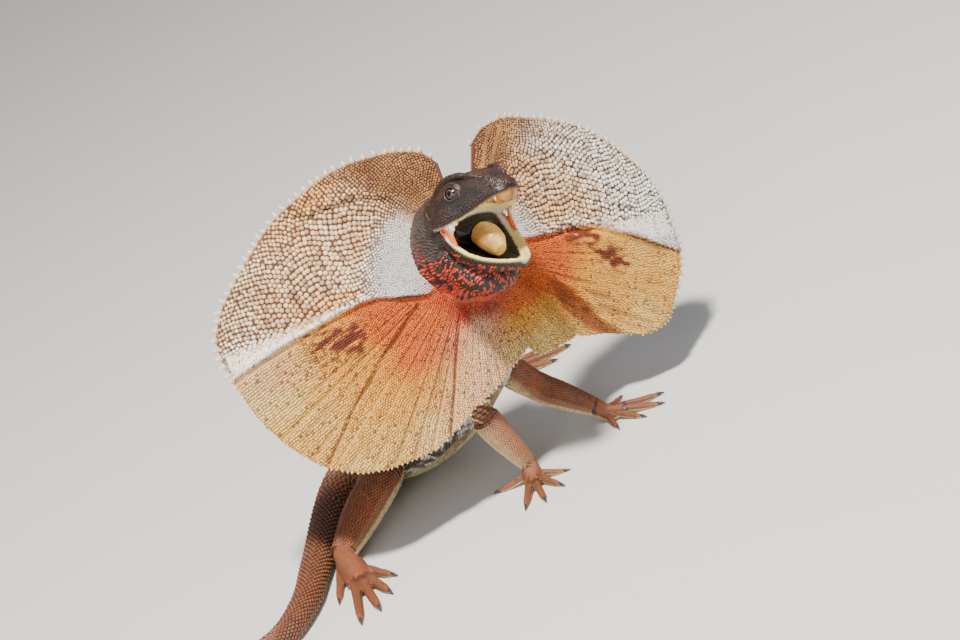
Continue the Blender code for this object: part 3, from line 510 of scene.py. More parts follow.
def lining_shares(points, normals, owner):
    """Shares from 0 to 1 of palate, floor of the mouth, cheek lining and gullet."""
    h, j = in_head(points), in_jaw(points)
    half_skull = between(SKULL_WIDTHS, h[:, 0])
    half_jaw = between(JAW_WIDTHS, j[:, 0])
    down = normals @ -HEAD_AXES[:, 2]
    up = normals @ JAW_AXES[:, 2]
    palate = (is_node(owner, "head") * smooth(0.0, 0.25, down) * smooth(-6, -2, h[:, 0])
              * smooth(half_skull - 0.1, half_skull - 1.3, np.abs(h[:, 1])) * smooth(8.0, 6.0, h[:, 2]))
    floor = (is_node(owner, "lower_jaw") * smooth(-0.2, 0.15, up) * smooth(-4.0, -1.0, j[:, 0])
             * smooth(half_jaw + 0.5, half_jaw - 0.5, np.abs(j[:, 1])))
    cheek = is_node(owner, "cheek_left", "cheek_right").astype(float)
    throat = (is_node(owner, "neck") * smooth(-4.0, -1.0, h[:, 0]) * smooth(3.0, 1.0, h[:, 2])
              * smooth(-10.0, -8.0, j[:, 2]) * smooth(23.0, 20.5, np.abs(h[:, 1])))
    return palate, floor, cheek, throat


# The frill's surface


def frill_radius(angle):
    return between(FRILL_OUTLINE, angle)


def upper_share(angle):
    """1 on the two upper lobes, 0 on the rest of the membrane."""
    return np.maximum(smooth(-166, -171, angle), smooth(-8, -1, angle))


def polar(radius, angle):
    a = np.radians(angle)
    return np.stack((radius * np.cos(a), radius * np.sin(a)), -1)


def streaks(angle, reach, width, length, seed):
    """Noise drawn out along the radius."""
    return lattice_noise(np.stack((angle / width, reach / length, 0 * angle), 1), 1.0, seed)


def along_line(line, radius, before, within, last, after):
    """1 along a line of the membrane, fading before its start and towards its end."""
    start, end = line[0][0], line[-1][0]
    return smooth(start - before, start + within, radius) * smooth(end + after, end - last, radius)


def line_offset(line, radius, angle):
    """Distance in millimetres from a line across the membrane, positive towards greater angles."""
    return np.radians(angle - between(line, radius)) * radius


def frill_depth(radius, angle):
    share = np.minimum(radius / frill_radius(angle), 1.1)
    x = radius * np.cos(np.radians(angle))
    sweep = math.tan(math.radians(FRILL_SWEEP))
    depth = -sweep * (np.hypot(x, FRILL_SWEEP_ROUND) - FRILL_SWEEP_ROUND)
    for root, rim, height, width in FRILL_FOLDS:
        middle = root + (rim - root) * share
        depth = depth + height * share * bump(angle, middle, width)
    depth = depth + EDGE_RIPPLE * share ** 3 * np.sin(np.radians(angle) * EDGE_RIPPLE_WAVES)
    for line, height, width, step, groove in FRILL_LINES:
        offset = line_offset(line, radius, angle)
        inside = along_line(line, radius, 6, 8, 4, 12)
        depth = depth + inside * (height * bump(offset, 0, width) - groove * bump(offset, step, width))
    low = smooth(-162, -150, angle) * smooth(-6, -14, angle)
    wander = lattice_noise(np.stack((radius / 40, angle / 14, 0 * angle), -1).reshape(-1, 3), 1.0, 7)
    wander = wander.reshape(np.shape(radius))
    turn = np.radians(angle)
    pleats = np.sin(turn * 88 + 2.4 * wander) + 0.6 * np.sin(turn * 143 - 3 * wander)
    return depth + low * smooth(30, 60, radius) * (0.22 + 0.30 * share) * pleats


def frill_point(radius, angle, back=0.0):
    radius, angle = np.asarray(radius, float), np.asarray(angle, float)
    a = np.radians(angle)
    spot = np.stack((frill_depth(radius, angle) - back, radius * np.cos(a), radius * np.sin(a)), axis=-1)
    return FRILL_CENTRE + spot @ FRILL_AXES.T


def frill_frame(radius, angle):
    """Unit vectors outward, and out of the front face."""
    step = 0.7
    outward = unit(frill_point(radius + step, angle) - frill_point(radius - step, angle))
    turn = np.degrees(step / np.maximum(radius, 5.0))
    around = unit(frill_point(radius, angle + turn) - frill_point(radius, angle - turn))
    front = unit(np.cross(around, outward))
    flip = np.sign(front @ FRILL_AXES[:, 0])
    return outward, front * flip[:, None]


def frill_roots():
    """Radius at which the membrane leaves the neck, by angle."""
    angles = np.arange(FRILL_LAST, FRILL_FIRST + 0.1, 1.5)
    roots = []
    for angle in angles:
        radius = min(70.0, float(frill_radius(angle)) * 0.8)
        while radius > 12.0:
            spot = Vector(frill_point(radius, angle, FRILL_THICK / 2))
            place, normal, _, _ = SKIN_TREE.find_nearest(spot)
            if (spot - place).dot(normal) < 0:
                break
            radius -= 0.5
        roots.append(radius)
    roots = np.array(roots)
    padded = np.concatenate((roots[:1].repeat(4), roots, roots[-1:].repeat(4)))
    even = np.convolve(padded, np.ones(9) / 9, "valid")
    return angles, np.minimum(even, roots + 1.0)


def root_at(angle):
    return np.interp(angle, ROOT_ANGLES, ROOT_RADII)


def frill_share(radius, angle):
    root = root_at(angle)
    return np.clip((radius - root) / (frill_radius(angle) - root), 0, 1)


def ear_place(h, side):
    """Distance from the ear's middle as a share of its radius, and how far behind it a point lies."""
    x, z = (h[:, 0] - EAR_PLACE[0]) / EAR_RADIUS, (h[:, 2] - EAR_PLACE[2]) / (EAR_RADIUS * 1.15)
    away = np.hypot(x, z)
    away = np.where(h[:, 1] * side > 12.0, away, 9.0)
    return away, -x / np.maximum(away, 0.01)


# Colours


def srgb(*values):
    v = np.array(values, float) / 255
    return np.where(v <= 0.04045, v / 12.92, ((v + 0.055) / 1.055) ** 2.4)


def mix(a, b, t):
    t = np.clip(np.asarray(t, float), 0, 1)[..., None]
    return np.asarray(a) * (1 - t) + np.asarray(b) * t


BROWN = srgb(128, 76, 40)
TAN = srgb(200, 146, 88)
PEARL = srgb(238, 204, 166)
CHALK = srgb(240, 238, 234)
OCHRE = srgb(226, 152, 48)
ORANGE = srgb(226, 100, 14)
YELLOW = srgb(252, 172, 52)
CREAM = srgb(252, 206, 116)
PINK = srgb(248, 196, 156)
RUST = srgb(112, 34, 8)
GAP_SHADE_BROWN = srgb(84, 46, 26)
POCKET_SHADOW = srgb(160, 72, 20)
NEAR_BLACK = srgb(17, 11, 10)
HEAD_BROWN = srgb(70, 36, 27)
NECK_GREY = srgb(66, 58, 54)
RED = srgb(206, 42, 12)
SPOT_RED = srgb(182, 48, 18)
BODY_RED = srgb(128, 54, 26)
BODY_BROWN = srgb(108, 66, 40)
BODY_DARK = srgb(64, 32, 24)
PALE_KEEL_HIGHLIGHT = srgb(232, 190, 138)
FLANK_BLACK = srgb(46, 42, 42)
BELLY_PALE = srgb(226, 204, 150)
AMBER = srgb(176, 116, 40)
AMBER_MOTTLE_AND_SHADE = srgb(92, 50, 22)
PALE_YELLOW = srgb(240, 220, 140)
LINING = srgb(242, 232, 210)
LILAC = srgb(206, 196, 216)
CORNER_ORANGE = srgb(224, 96, 28)
MOUTH_SHADOW = srgb(20, 9, 8)
TONGUE_YELLOW = srgb(250, 208, 112)
TONGUE_SHADE = srgb(150, 90, 44)
HORN = srgb(62, 48, 40)
IVORY = srgb(240, 232, 212)
SPINE_TIP = srgb(236, 216, 182)
DRUM = srgb(56, 38, 33)
EAR_RIM_HIGHLIGHT = srgb(150, 124, 108)
LID_PINK = srgb(88, 58, 48)
CREASE_SHADOW_BROWN = srgb(116, 54, 30)
ROOT_SHADE = srgb(120, 34, 14)
EYE_DARK = srgb(14, 10, 10)
IRIS = srgb(48, 30, 20)
IRIS_HIGHLIGHT_RING = srgb(120, 124, 124)
PUPIL = srgb(4, 4, 4)
LID_TONE = (0.12, 0.8, 0.8, 0.12, 0.12, 0.12, 0.12, 0.8, 0.12, 0.12, 0.12)
# Ochre spots of the lobes: middle and depth as shares of the radius, angle, width and strength
OCHRE_SPOTS = ((0.9, 0.13, -210, 8, 0.75), (0.42, 0.2, -174, 3.5, 0.6), (0.35, 0.12, 9, 5, 0.45))


def upper_colour(angle, s, patch, fine):
    """Markings of the two upper lobes: pebbles, brown tops and pale roots."""
    top = np.maximum(smooth(-206, -234, angle), smooth(24, 56, angle))
    pebble = mix(PEARL, TAN, 0.30 + 0.45 * patch + 0.3 * fine)
    pebble = mix(pebble, CHALK, smooth(-176, -166, angle) * smooth(0.55, 0.8, s) * 0.7)
    pebble = mix(pebble, CHALK, smooth(14, 2, angle) * smooth(-14, -6, angle) * smooth(0.6, 0.85, s) * 0.7)
    high = mix(TAN, BROWN, 0.50 + 0.35 * patch + 0.25 * fine)
    colour = mix(pebble, high, top)
    for reach, depth, middle, width, strength in OCHRE_SPOTS:
        colour = mix(colour, OCHRE, bump(s, reach, depth) * bump(angle, middle, width) * strength)
    return mix(colour, CHALK, smooth(0.36, 0.14, s) * (1 - top) * 0.9)


def lower_colour(radius, angle, s, patch, fine, streak):
    """Markings of the lower membrane: orange to cream, painted shadow in the pocket under the pleat and along
    the creases, and blotches.
    """
    ragged = s + 0.05 * patch + 0.06 * fine
    low = mix(ORANGE, YELLOW, smooth(0.30, 0.52, ragged) * 0.9)
    low = mix(low, CREAM, smooth(0.50, 0.95, ragged) * (0.85 + 0.5 * patch))
    low = mix(low, PINK, bump(angle, -98, 17) * smooth(0.02, 0.25, s) * 0.85)
    low = mix(low, PINK, smooth(-148, -164, angle) * smooth(0.62, 0.8, s) * 0.5)
    low = mix(low, YELLOW, smooth(-36, -20, angle) * smooth(0.55, 0.9, s) * 0.6)
    low = mix(low, low * 0.80, 0.5 + 0.5 * streak)
    crest, edge = between(PLEAT, radius), between(POCKET_EDGE, radius)
    # Painted shadow: the pocket under the pleat's crest is painted dark orange-brown.
    pocket = smooth(crest + 0.3, crest - 1.6, angle) * smooth(edge - 1.2, edge + 0.6, angle)
    low = mix(low, POCKET_SHADOW, pocket * smooth(50, 66, radius) * (0.85 + 0.2 * fine))
    # Painted shade: each crease is darkened brown along its groove.
    for line in (CREASE_RIGHT, CREASE_DEEP):
        crease_shade = bump(line_offset(line, radius, angle), 0.3, 0.75)
        low = mix(low, CREASE_SHADOW_BROWN, crease_shade * along_line(line, radius, 2, 6, 4, 4) * 0.9)
    blotch = (bump(angle, -160 - (s - 0.5) * 22, 8.5) * bump(s, 0.50, 0.15)
              + bump(angle, -2 - (s - 0.36) * 40, 6.5) * bump(s, 0.52, 0.20))
    dashes = streaks(angle, radius, 1.1, 5.5, 12)
    return mix(low, RUST, smooth(0.25, 0.95, blotch * (1.0 + 1.1 * dashes)))


def rod_colour(colour, radius, angle):
    """The two rods, white, with a painted shadow line under part of each."""
    left, right = (ROD_LEFT, -1.9, smooth(108, 124, radius)), (ROD_RIGHT, 1.9, smooth(70, 50, radius))
    for line, lower, far in (left, right):
        offset = line_offset(line, radius, angle)
        along = smooth(line[0][0] - 4, line[0][0] + 6, radius)
        colour = mix(colour, CHALK, bump(offset, 0, 1.3) * along * 0.85)
        # Painted shadow under the overhanging rod.
        colour = mix(colour, CREASE_SHADOW_BROWN * 0.6, bump(offset, lower, 0.7) * far * along)
    return colour


def frill_colour(radius, angle, front):
    """Markings of the membrane by radius and angle."""
    radius, angle = np.asarray(radius, float), np.asarray(angle, float)
    s = frill_share(radius, angle)
    flat = np.column_stack((polar(radius, angle), 0 * radius))
    patch = lattice_noise(flat, 16.0, 3)
    fine = lattice_noise(flat, 5.0, 5)
    streak = streaks(angle, radius, 1.6, 16, 9)
    upper = np.maximum(smooth(1.5, -1.5, line_offset(ROD_RIGHT, radius, angle)),
                       smooth(-1.5, 1.5, line_offset(ROD_LEFT, radius, angle)))
    low = lower_colour(radius, angle, s, patch, fine, streak)
    colour = mix(low, upper_colour(angle, s, patch, fine), upper)
    colour = rod_colour(colour, radius, angle)
    from_root = radius - root_at(angle)
    red = bump(angle, -85, 66) * smooth(15.0, 3.0, from_root + 4 * patch)
    colour = mix(colour, RED, red * smooth(-0.5, 0.2, streak + 0.3 * fine))
    colour = mix(colour, NEAR_BLACK, red * smooth(0.35, 0.75, -streak) * 0.8)
    # Painted shadow of the head: a red-brown crescent near the root below the throat, partly the skin's own
    # red-brown.
    colour = mix(colour, ROOT_SHADE, bump(angle, -96, 34) * bump(from_root, 5.0, 5.5) * 0.6)
    if not front:
        colour = mix(colour, mix(BROWN, TAN, 0.3 + 0.3 * patch), 0.55)
    return colour


def body_colour(points, normals, owner):
    """Markings of trunk, limbs and tail."""
    patch = lattice_noise(points, 10.0, 2)
    fine = lattice_noise(points, 2.6, 4)
    under = -normals[:, 2]
    trunk = is_node(owner, "torso", "neck")
    tail = is_node(owner, "tail_1", "tail_2", "tail_3", "tail_4")
    back = mix(BODY_BROWN, BODY_RED, 0.4 + 0.4 * patch)
    band = smooth(0.35, 0.8, np.sin(points[:, 1] * 0.26 + 1.2 * patch))
    back = mix(back, BODY_DARK, band * 0.7)
    flank = mix(FLANK_BLACK, CHALK * 0.8, smooth(-0.1, 0.6, fine + 0.5 * patch))
    back = mix(back, flank, smooth(0.25, -0.25, normals[:, 2]))
    back = mix(back, BELLY_PALE * 0.8, smooth(0.55, 0.9, under))
    limb = mix(BODY_RED, BODY_BROWN, 0.3 + 0.5 * patch + 0.2 * fine)
    limb = mix(limb, BODY_DARK, smooth(0.3, 0.8, fine) * 0.35)
    limb = mix(limb, BELLY_PALE, smooth(0.05, 0.55, under))
    ringed = smooth(0.2, 0.7, np.sin((points[:, 1] - 0.7 * points[:, 0]) * 0.16))
    tail_tone = mix(mix(BODY_RED * 0.75, BODY_DARK, 0.45 + 0.4 * patch), BODY_BROWN, ringed * 0.4)
    tail_tone = mix(tail_tone, BELLY_PALE * 0.7, smooth(0.55, 0.9, under))
    colour = np.where(trunk[:, None], back, limb)
    return np.where(tail[:, None], tail_tone, colour)


def neck_streaks(ahead, radius, angle):
    return lattice_noise(np.stack((angle / 3.0, radius / 8, ahead / 8), 1), 1.0, 9)


def face_colour(points, normals, owner):
    """Markings of head, jaw and the neck in front of the frill."""
    patch = lattice_noise(points, 8.0, 2)
    fine = lattice_noise(points, 2.2, 4)
    ahead, radius, angle = in_frill(points)
    dark = mix(NEAR_BLACK, HEAD_BROWN, 0.30 + 0.4 * patch + 0.35 * fine)
    # Upward-facing skin of the head is painted lighter brown: a painted highlight, partly the browner brow
    # and top.
    crown = smooth(0.3, 0.9, normals @ HEAD_AXES[:, 2])
    dark = mix(dark, HEAD_BROWN * 1.1, crown * (0.5 + 0.4 * patch) * is_node(owner, "head"))
    neck = is_node(owner, "neck", "lower_jaw")
    side = neck * smooth(-150, -178, angle) * smooth(30, 18, ahead)
    colour = mix(dark, NECK_GREY, side * 0.9)
    streak = neck_streaks(ahead, radius, angle)
    red = smooth(13, 5, ahead) * bump(angle, -85, 66) * neck
    return mix(colour, RED, red * (1.0 + 0.9 * streak))


def roof_colour(h, fine):
    """Palate: white at the back, yellow, then amber in front, mottled darker, with painted shade in the
    hollows and grooves between its bumps.
    """
    roof = mix(LINING, PALE_YELLOW, smooth(6, 14, h[:, 0]))
    roof = mix(roof, AMBER, smooth(23.5, 27.5, h[:, 0] + fine) * 0.95)
    # Painted shade: dark amber in the hollows and grooves between the palate's bumps.
    pit_shade = bump(h[:, 0], 41.0, 1.6) * bump(h[:, 1], 0.4, 3.0)
    pit_shade = pit_shade + bump(h[:, 1], 0.3, 0.8) * smooth(34, 38, h[:, 0])
    pit_shade = pit_shade + bump(np.abs(h[:, 1]), 7.0, 1.2) * bump(h[:, 0], 38.5, 2.0)
    return mix(roof, AMBER_MOTTLE_AND_SHADE, pit_shade * 0.8 + smooth(0.2, 0.9, fine) * smooth(28, 34, h[:, 0]) * 0.3)


def jaw_floor_colour(j, fine):
    """Floor of the mouth: a pale rim with grooves, orange at the corner, and painted shadow within."""
    inward = between(JAW_WIDTHS, j[:, 0]) - np.abs(j[:, 1])
    bed = mix(LINING, PALE_YELLOW, smooth(8, 22, j[:, 0]))
    grooves = smooth(0.2, 0.9, np.sin(j[:, 0] * 4.2)) * bump(inward, 2.4, 1.3) * smooth(14, 20, j[:, 0])
    bed = mix(bed, AMBER, grooves * 0.45 + smooth(0.3, 0.9, fine) * 0.15)
    bed = mix(bed, CORNER_ORANGE, smooth(10.0, 6.0, j[:, 0]) * smooth(3.5, 2.0, inward))
    # Painted shadow: the floor round the tongue is near-black.
    return mix(bed, MOUTH_SHADOW, smooth(4.6, 6.4, inward + 0.4 * fine) * smooth(41.0, 36.5, j[:, 0]))


def web_colour(h, fine):
    """Cheek webs in bands: orange, white, lilac and yellow from the back."""
    across = h[:, 0] + 0.15 * h[:, 2] + 0.5 * fine
    web = mix(LINING, LILAC, bump(across, 10.0, 1.2) + 0.6 * bump(across, 13.6, 0.7))
    web = mix(web, PALE_YELLOW, smooth(13.5, 15.5, across))
    return mix(web, CORNER_ORANGE, smooth(9.4, 7.6, across))


def skin_colour(points, normals, owner, shares=None):
    """Colour at points of the skin; shares of the mouth's lining may be given."""
    ahead, _, _ = in_frill(points)
    face = is_node(owner, *HEAD_FLESH) & (ahead > -5.0)
    colour = np.where(face[:, None], face_colour(points, normals, owner), body_colour(points, normals, owner))
    h, j = in_head(points), in_jaw(points)
    fine = lattice_noise(points, 1.6, 6)
    palate, floor, cheek, throat = lining_shares(points, normals, owner) if shares is None else shares
    colour = mix(colour, roof_colour(h, fine), palate)
    colour = mix(colour, jaw_floor_colour(j, fine), floor)
    colour = mix(colour, web_colour(h, fine), cheek)
    # Painted shadow: the back of the mouth is painted near-black where the gullet opens.
    colour = mix(colour, MOUTH_SHADOW, throat)
    for side in (-1, 1):
        away, behind = ear_place(h, side)
        colour = mix(colour, DRUM, smooth(1.0, 0.85, away))
        # Painted highlight on the ear's rear rim.
        colour = mix(colour, EAR_RIM_HIGHLIGHT, bump(away, 1.02, 0.06) * smooth(0.3, 0.8, behind))
    return colour


# Scales


def hexagon_plate():
    """A low domed plate: six rim points, a crown and a sunk root."""
    rim = [(math.cos(a), math.sin(a), 0.0) for a in (math.pi / 3 * i for i in range(6))]
    points = rim + [(0.0, 0.0, 1.0), (0.0, 0.0, -0.8)]
    faces = [(i, (i + 1) % 6, 6) for i in range(6)] + [((i + 1) % 6, i, 7) for i in range(6)]
    # Per-point shades: the rim and root are painted darker as shade between plates, the crown lighter as a
    # painted highlight.
    return np.array(points), np.array(faces), np.array([0.55] * 6 + [1.12, 0.3])


def round_plate():
    """A pebble of eight sides: an outer ring, a raised inner ring, a crown and a sunk root."""
    turns = [math.pi / 4 * i for i in range(8)]
    outer = [(math.cos(a), math.sin(a), 0.0) for a in turns]
    inner = [(0.62 * math.cos(a) + 0.06, 0.62 * math.sin(a), 0.78) for a in turns]
    points = outer + inner + [(0.08, 0.0, 1.0), (0.0, 0.0, -0.8)]
    faces = []
    for i in range(8):
        k = (i + 1) % 8
        faces += [(i, k, 8 + k), (i, 8 + k, 8 + i), (8 + i, 8 + k, 16), (k, i, 17)]
    # Per-point shades: the outer rim and root are painted darker as shade between pebbles, the crown lighter
    # as a painted highlight.
    return np.array(points), np.array(faces), np.array([0.36] * 8 + [0.95] * 8 + [1.15, 0.25])


def keeled_plate():
    """A pointed scale with a keel that rises towards its tip."""
    points = [(-1.0, 0.0, -0.35), (-0.35, -0.9, -0.1), (0.45, -0.75, 0.1), (1.15, 0.0, 0.7),
              (0.45, 0.75, 0.1), (-0.35, 0.9, -0.1), (-0.3, 0.0, 0.7), (0.5, 0.0, 1.0), (0.0, 0.0, -0.9)]
    faces = [(0, 1, 6), (1, 7, 6), (1, 2, 7), (2, 3, 7), (3, 4, 7), (4, 5, 7), (5, 6, 7), (5, 0, 6)]
    faces += [((i + 1) % 6, i, 8) for i in range(6)]
    # Per-point shades: the rim and root are painted darker as shade between scales, the keel and tip lighter
    # as a painted highlight.
    shades = [0.4, 0.6, 0.75, 1.25, 0.75, 0.6, 1.05, 1.3, 0.3]
    return np.array(points), np.array(faces), np.array(shades)


def scatter(name, template, coat, material, flat=False):
    """Join one plate at each root of the coat into a single piece."""
    shape, faces, shades = template
    outward = coat["normal"]
    along = unit(coat["along"] - outward * np.sum(coat["along"] * outward, axis=1, keepdims=True))
    across = np.cross(outward, along)
    k, count = len(shape), len(outward)
    local = shape[None] * coat["size"][:, None, :]
    points = (coat["root"][:, None] + local[..., :1] * along[:, None] + local[..., 1:2] * across[:, None]
              + local[..., 2:] * outward[:, None]).reshape(-1, 3)
    triangles = (faces[None] + (np.arange(count) * k)[:, None, None]).reshape(-1, 3)
    vary = 1 + 0.16 * draw.standard_normal(count)[:, None, None]
    # Each plate's colour is scaled by its template's shades: painted shade at rims and roots, painted
    # highlight on crowns and keels; vary is random tone.
    tones = coat["colour"][:, None] * shades[None, :, None] * vary
    # Painted highlight: points of a plate lighter than its rim are mixed toward pale cream, by the plate's
    # keel share.
    if "keel" in coat:
        share = coat["keel"][:, None] * (shades[None] > 1.0)
        tones = mix(tones, np.broadcast_to(PALE_KEEL_HIGHLIGHT, tones.shape), share)
    tones = np.clip(tones, 0.002, 0.95).reshape(-1, 3)
    points[:, 2] = np.maximum(points[:, 2], 0.03)
    piece = mesh_object(name, points, triangles, tones, flat)
    spread = shape[:, :2] / np.abs(shape[:, :2]).max() * CHART_PATCH / 2
    bake_chart(piece, (coat["chart"][:, None] + spread[None]).reshape(-1, 2))
    finished(piece, material)


def chosen(coat, keep):
    return {key: value[keep] for key, value in coat.items()}


def joined(coats):
    return {key: np.concatenate([coat[key] for coat in coats]) for key in coats[0]}


# Scales of the frill


def frill_scale_size(share, angle):
    """Spacing in millimetres of the membrane's scales."""
    upper = upper_share(angle)
    lobe = 1.5 + 1.9 * smooth(0.12, 0.45, share) - 0.9 * smooth(0.65, 1.0, share)
    top = np.maximum(smooth(-205, -235, angle), smooth(28, 58, angle))
    lobe = lobe * (1 - top) + 1.8 * top
    low = 1.45 + 0.4 * smooth(0.2, 0.9, share)
    return lobe * upper + low * (1 - upper)


def frill_rows():
    """Radius, angle and spacing of scales set in rows that bend with the change of their size."""
    angles = np.arange(FRILL_LAST + 0.8, FRILL_FIRST - 0.8, 0.4)
    shares = np.linspace(0, 1, 200)
    a, s = np.meshgrid(angles, shares, indexing="ij")
    root = root_at(a)
    radius = root + (frill_radius(a) - root) * s
    count = np.cumsum(np.gradient(radius, axis=1) / (frill_scale_size(s, a) * 0.866), axis=1)
    found = []
    for row in range(1, int(count.max())):
        place = np.minimum((count < row).sum(axis=1), len(shares) - 1)
        line = np.arange(len(angles))
        before = np.maximum(place - 1, 0)
        step = (row - count[line, before]) / np.maximum(count[line, place] - count[line, before], 1e-6)
        r = radius[line, before] + (radius[line, place] - radius[line, before]) * np.clip(step, 0, 1)
        present = count[:, -1] > row + 0.3
        spots = frill_point(r, angles)
        size = frill_scale_size(frill_share(r, angles), angles)
        gap = np.linalg.norm(np.diff(spots, axis=0), axis=1) / (0.5 * (size[1:] + size[:-1]))
        phase = np.concatenate(([0], np.cumsum(gap)))
        marks = np.arange(1, int(phase[-1])) + 0.5 * (row % 2)
        angle = np.interp(marks, phase, angles)
        there = np.interp(angle, angles, present.astype(float)) > 0.99
        found.append(np.stack((np.interp(angle, angles, r), angle, np.interp(angle, angles, size)), 1)[there])
    return np.concatenate(found)


def frill_chart(radius, angle):
    return 0.5 + 0.46 * polar(radius, angle) / CHART_REACH


def frill_coat(front):
    rows = frill_rows()
    radius, angle, size = rows.T
    radius = radius + size * 0.09 * draw.standard_normal(len(rows))
    angle = angle + np.degrees(size / radius) * 0.09 * draw.standard_normal(len(rows))
    share = frill_share(radius, angle)
    outward, face = frill_frame(radius, angle)
    swell = 2.5 * np.exp(-(radius - root_at(angle) + 3.0) / 4.0)
    back = -swell if front else FRILL_THICK * (1 - 0.45 * share) + swell
    root = frill_point(radius, angle, back)
    colour = frill_colour(radius, angle, front)
    low = 1 - upper_share(angle)
    # Painted shadow: dark specks on the lower membrane's scales stand for the shadows of their keels, with
    # more of them round one spot.
    keel_shadow_rate = 0.035 + 0.2 * bump(angle, -157, 9) * bump(share, 0.5, 0.2)
    keel_shadow_specks = (draw.random(len(rows)) < keel_shadow_rate) & (low > 0.5)
    colour = np.where(keel_shadow_specks[:, None], mix(colour, RUST, 0.75), colour)
    brown = (draw.random(len(rows)) < 0.16) & (low < 0.5) & (size > 1.7)
    colour = np.where(brown[:, None], mix(colour, BROWN, 0.6), colour)
    stretch = 1 + 0.30 * low
    lift = 0.26 * (1 - 0.62 * low)
    return {
        "root": root, "normal": face if front else -face, "along": outward,
        "size": np.stack((size * 0.56 * stretch, size * 0.53, size * lift), 1), "colour": colour,
        "chart": frill_chart(radius, angle),
        "spacing": size,
    }


def frill_sheet():
    """The membrane, thick where it leaves the neck and thin at its rim."""
    angles = np.arange(FRILL_FIRST, FRILL_LAST - 0.01, -0.75)
    shares = np.linspace(0, 1, 66)
    grid_angle, grid_share = np.meshgrid(angles, shares, indexing="ij")
    a, s = grid_angle.ravel(), grid_share.ravel()
    root = root_at(a) - 3.0
    radius = root + (frill_radius(a) - root) * s
    swell = 5.0 * np.exp(-(radius - root) / 4.0)
    front = frill_point(radius, a, 0.1 - swell * 0.5)
    back = frill_point(radius, a, FRILL_THICK * (1 - 0.45 * s) - 0.1 + swell * 0.5)
    rows, cols = len(shares), len(angles)
    index = np.arange(cols * rows).reshape(cols, rows)
    a0, a1 = index[:-1, :-1].ravel(), index[:-1, 1:].ravel()
    b0, b1 = index[1:, :-1].ravel(), index[1:, 1:].ravel()
    n = cols * rows
    faces = [np.stack((a0, a1, b1, b0), 1), np.stack((a0, b0, b1, a1), 1) + n]
    for line in (index[:, -1], index[::-1, 0], index[0, :], index[-1, ::-1]):
        p, q = line[:-1], line[1:]
        faces.append(np.stack((p, p + n, q + n, q), 1))
    # The membrane shows only between the scales; it is painted darker and browner there: painted shade in the
    # gaps, over the skin's own brown.
    gap = np.maximum(upper_share(a) * smooth(0.12, 0.3, frill_share(radius, a)), 0.15)
    tones = []
    for front_side in (True, False):
        colour = frill_colour(radius, a, front_side)
        tones.append(mix(colour * 0.7, GAP_SHADE_BROWN, gap))
    obj = mesh_object("frill", np.concatenate((front, back)), np.concatenate(faces), np.concatenate(tones))
    turn_outward(obj.data)
    return obj


def horn_rings(base, out, side, face, length, width, thick, bend):
    """Rings of a flat curved spine from its base to its tip."""
    rings = []
    for t, w in ((-0.15, 1.1), (0.1, 1.0), (0.45, 0.68), (0.78, 0.33), (1.0, 0.05)):
        centre = base + out * length * t + side * bend * t * t
        ring = [centre + side * width * w * math.cos(q) + face * thick * w * math.sin(q)
                for q in (math.pi / 3 * i for i in range(6))]
        rings.append(np.array(ring))
    return rings


def closed_tube(rings):
    """Triangles of a tube through equal rings, with both its ends closed."""
    k, n = len(rings[0]), len(rings)
    faces = []
    for r in range(n - 1):
        for i in range(k):
            p, q = r * k + i, r * k + (i + 1) % k
            faces += [(p, q, q + k), (p, q + k, p + k)]
    faces += [(0, i + 1, i) for i in range(1, k - 1)]
    last = (n - 1) * k
    faces += [(last, last + i, last + i + 1) for i in range(1, k - 1)]
    return np.concatenate(rings), np.array(faces)


def joined_tubes(name, tubes, colours, material, charts=None):
    """One piece of many closed tubes, each ring with its own colour."""
    points, faces, tones, places, start = [], [], [], [], 0
    for n, (rings, shades) in enumerate(zip(tubes, colours)):
        p, f = closed_tube(rings)
        points.append(p)
        faces.append(f + start)
        tones.append(np.repeat(shades, len(rings[0]), axis=0))
        if charts:
            turn = np.arange(len(rings[0])) / len(rings[0])
            patch = [(t, k / len(rings)) for k in range(len(rings)) for t in turn]
            places.append(charts[n] + CHART_PATCH * (np.array(patch) - 0.5))
        start += len(p)
    piece = mesh_object(name, np.concatenate(points), np.concatenate(faces), np.concatenate(tones))
    turn_outward(piece.data)
    if charts:
        bake_chart(piece, np.concatenate(places))
    finished(piece, material)


def rim_spines(material):
    """Flat pointed scales round the rim, long on the upper lobes and short below."""
    tubes, tones, charts = [], [], []
    near = np.array((0.6, -0.6))
    angle = FRILL_FIRST - 0.5
    while angle > FRILL_LAST + 0.5:
        low = float(smooth(-168, -158, angle) * smooth(-22, -30, angle))
        tall = (4.1 - 2.5 * low) * draw.uniform(0.8, 1.12)
        here = np.array([angle])
        radius = frill_radius(here)
        spot = frill_point(radius - 0.4, here, FRILL_THICK * 0.28)[0]
        ahead, behind = frill_point(frill_radius(angle + near), angle + near)
        side = unit(ahead - behind)
        _, face = frill_frame(radius - 1, here)
        out = unit(np.cross(face[0], side))
        if out @ (spot - FRILL_CENTRE) < 0:
            out = -out
        width = 2.1 - 1.05 * low
        tubes.append(horn_rings(spot, out, side, face[0], tall, width, 0.62, draw.uniform(-0.8, 0.8)))
        base = mix(frill_colour(radius - 2, here, True)[0], TAN, 0.4)
        middle = mix(base, SPINE_TIP, 0.6)
        tones.append(np.array([base * 0.6, base * 0.85, middle, SPINE_TIP, SPINE_TIP]))
        charts.append(frill_chart(radius[0], angle))
        gap = (4.9 - 2.2 * low) * draw.uniform(0.85, 1.15)
        angle -= math.degrees(gap / float(radius[0]))
    joined_tubes("rim_spines", tubes, tones, material, charts)


# Scales of the body


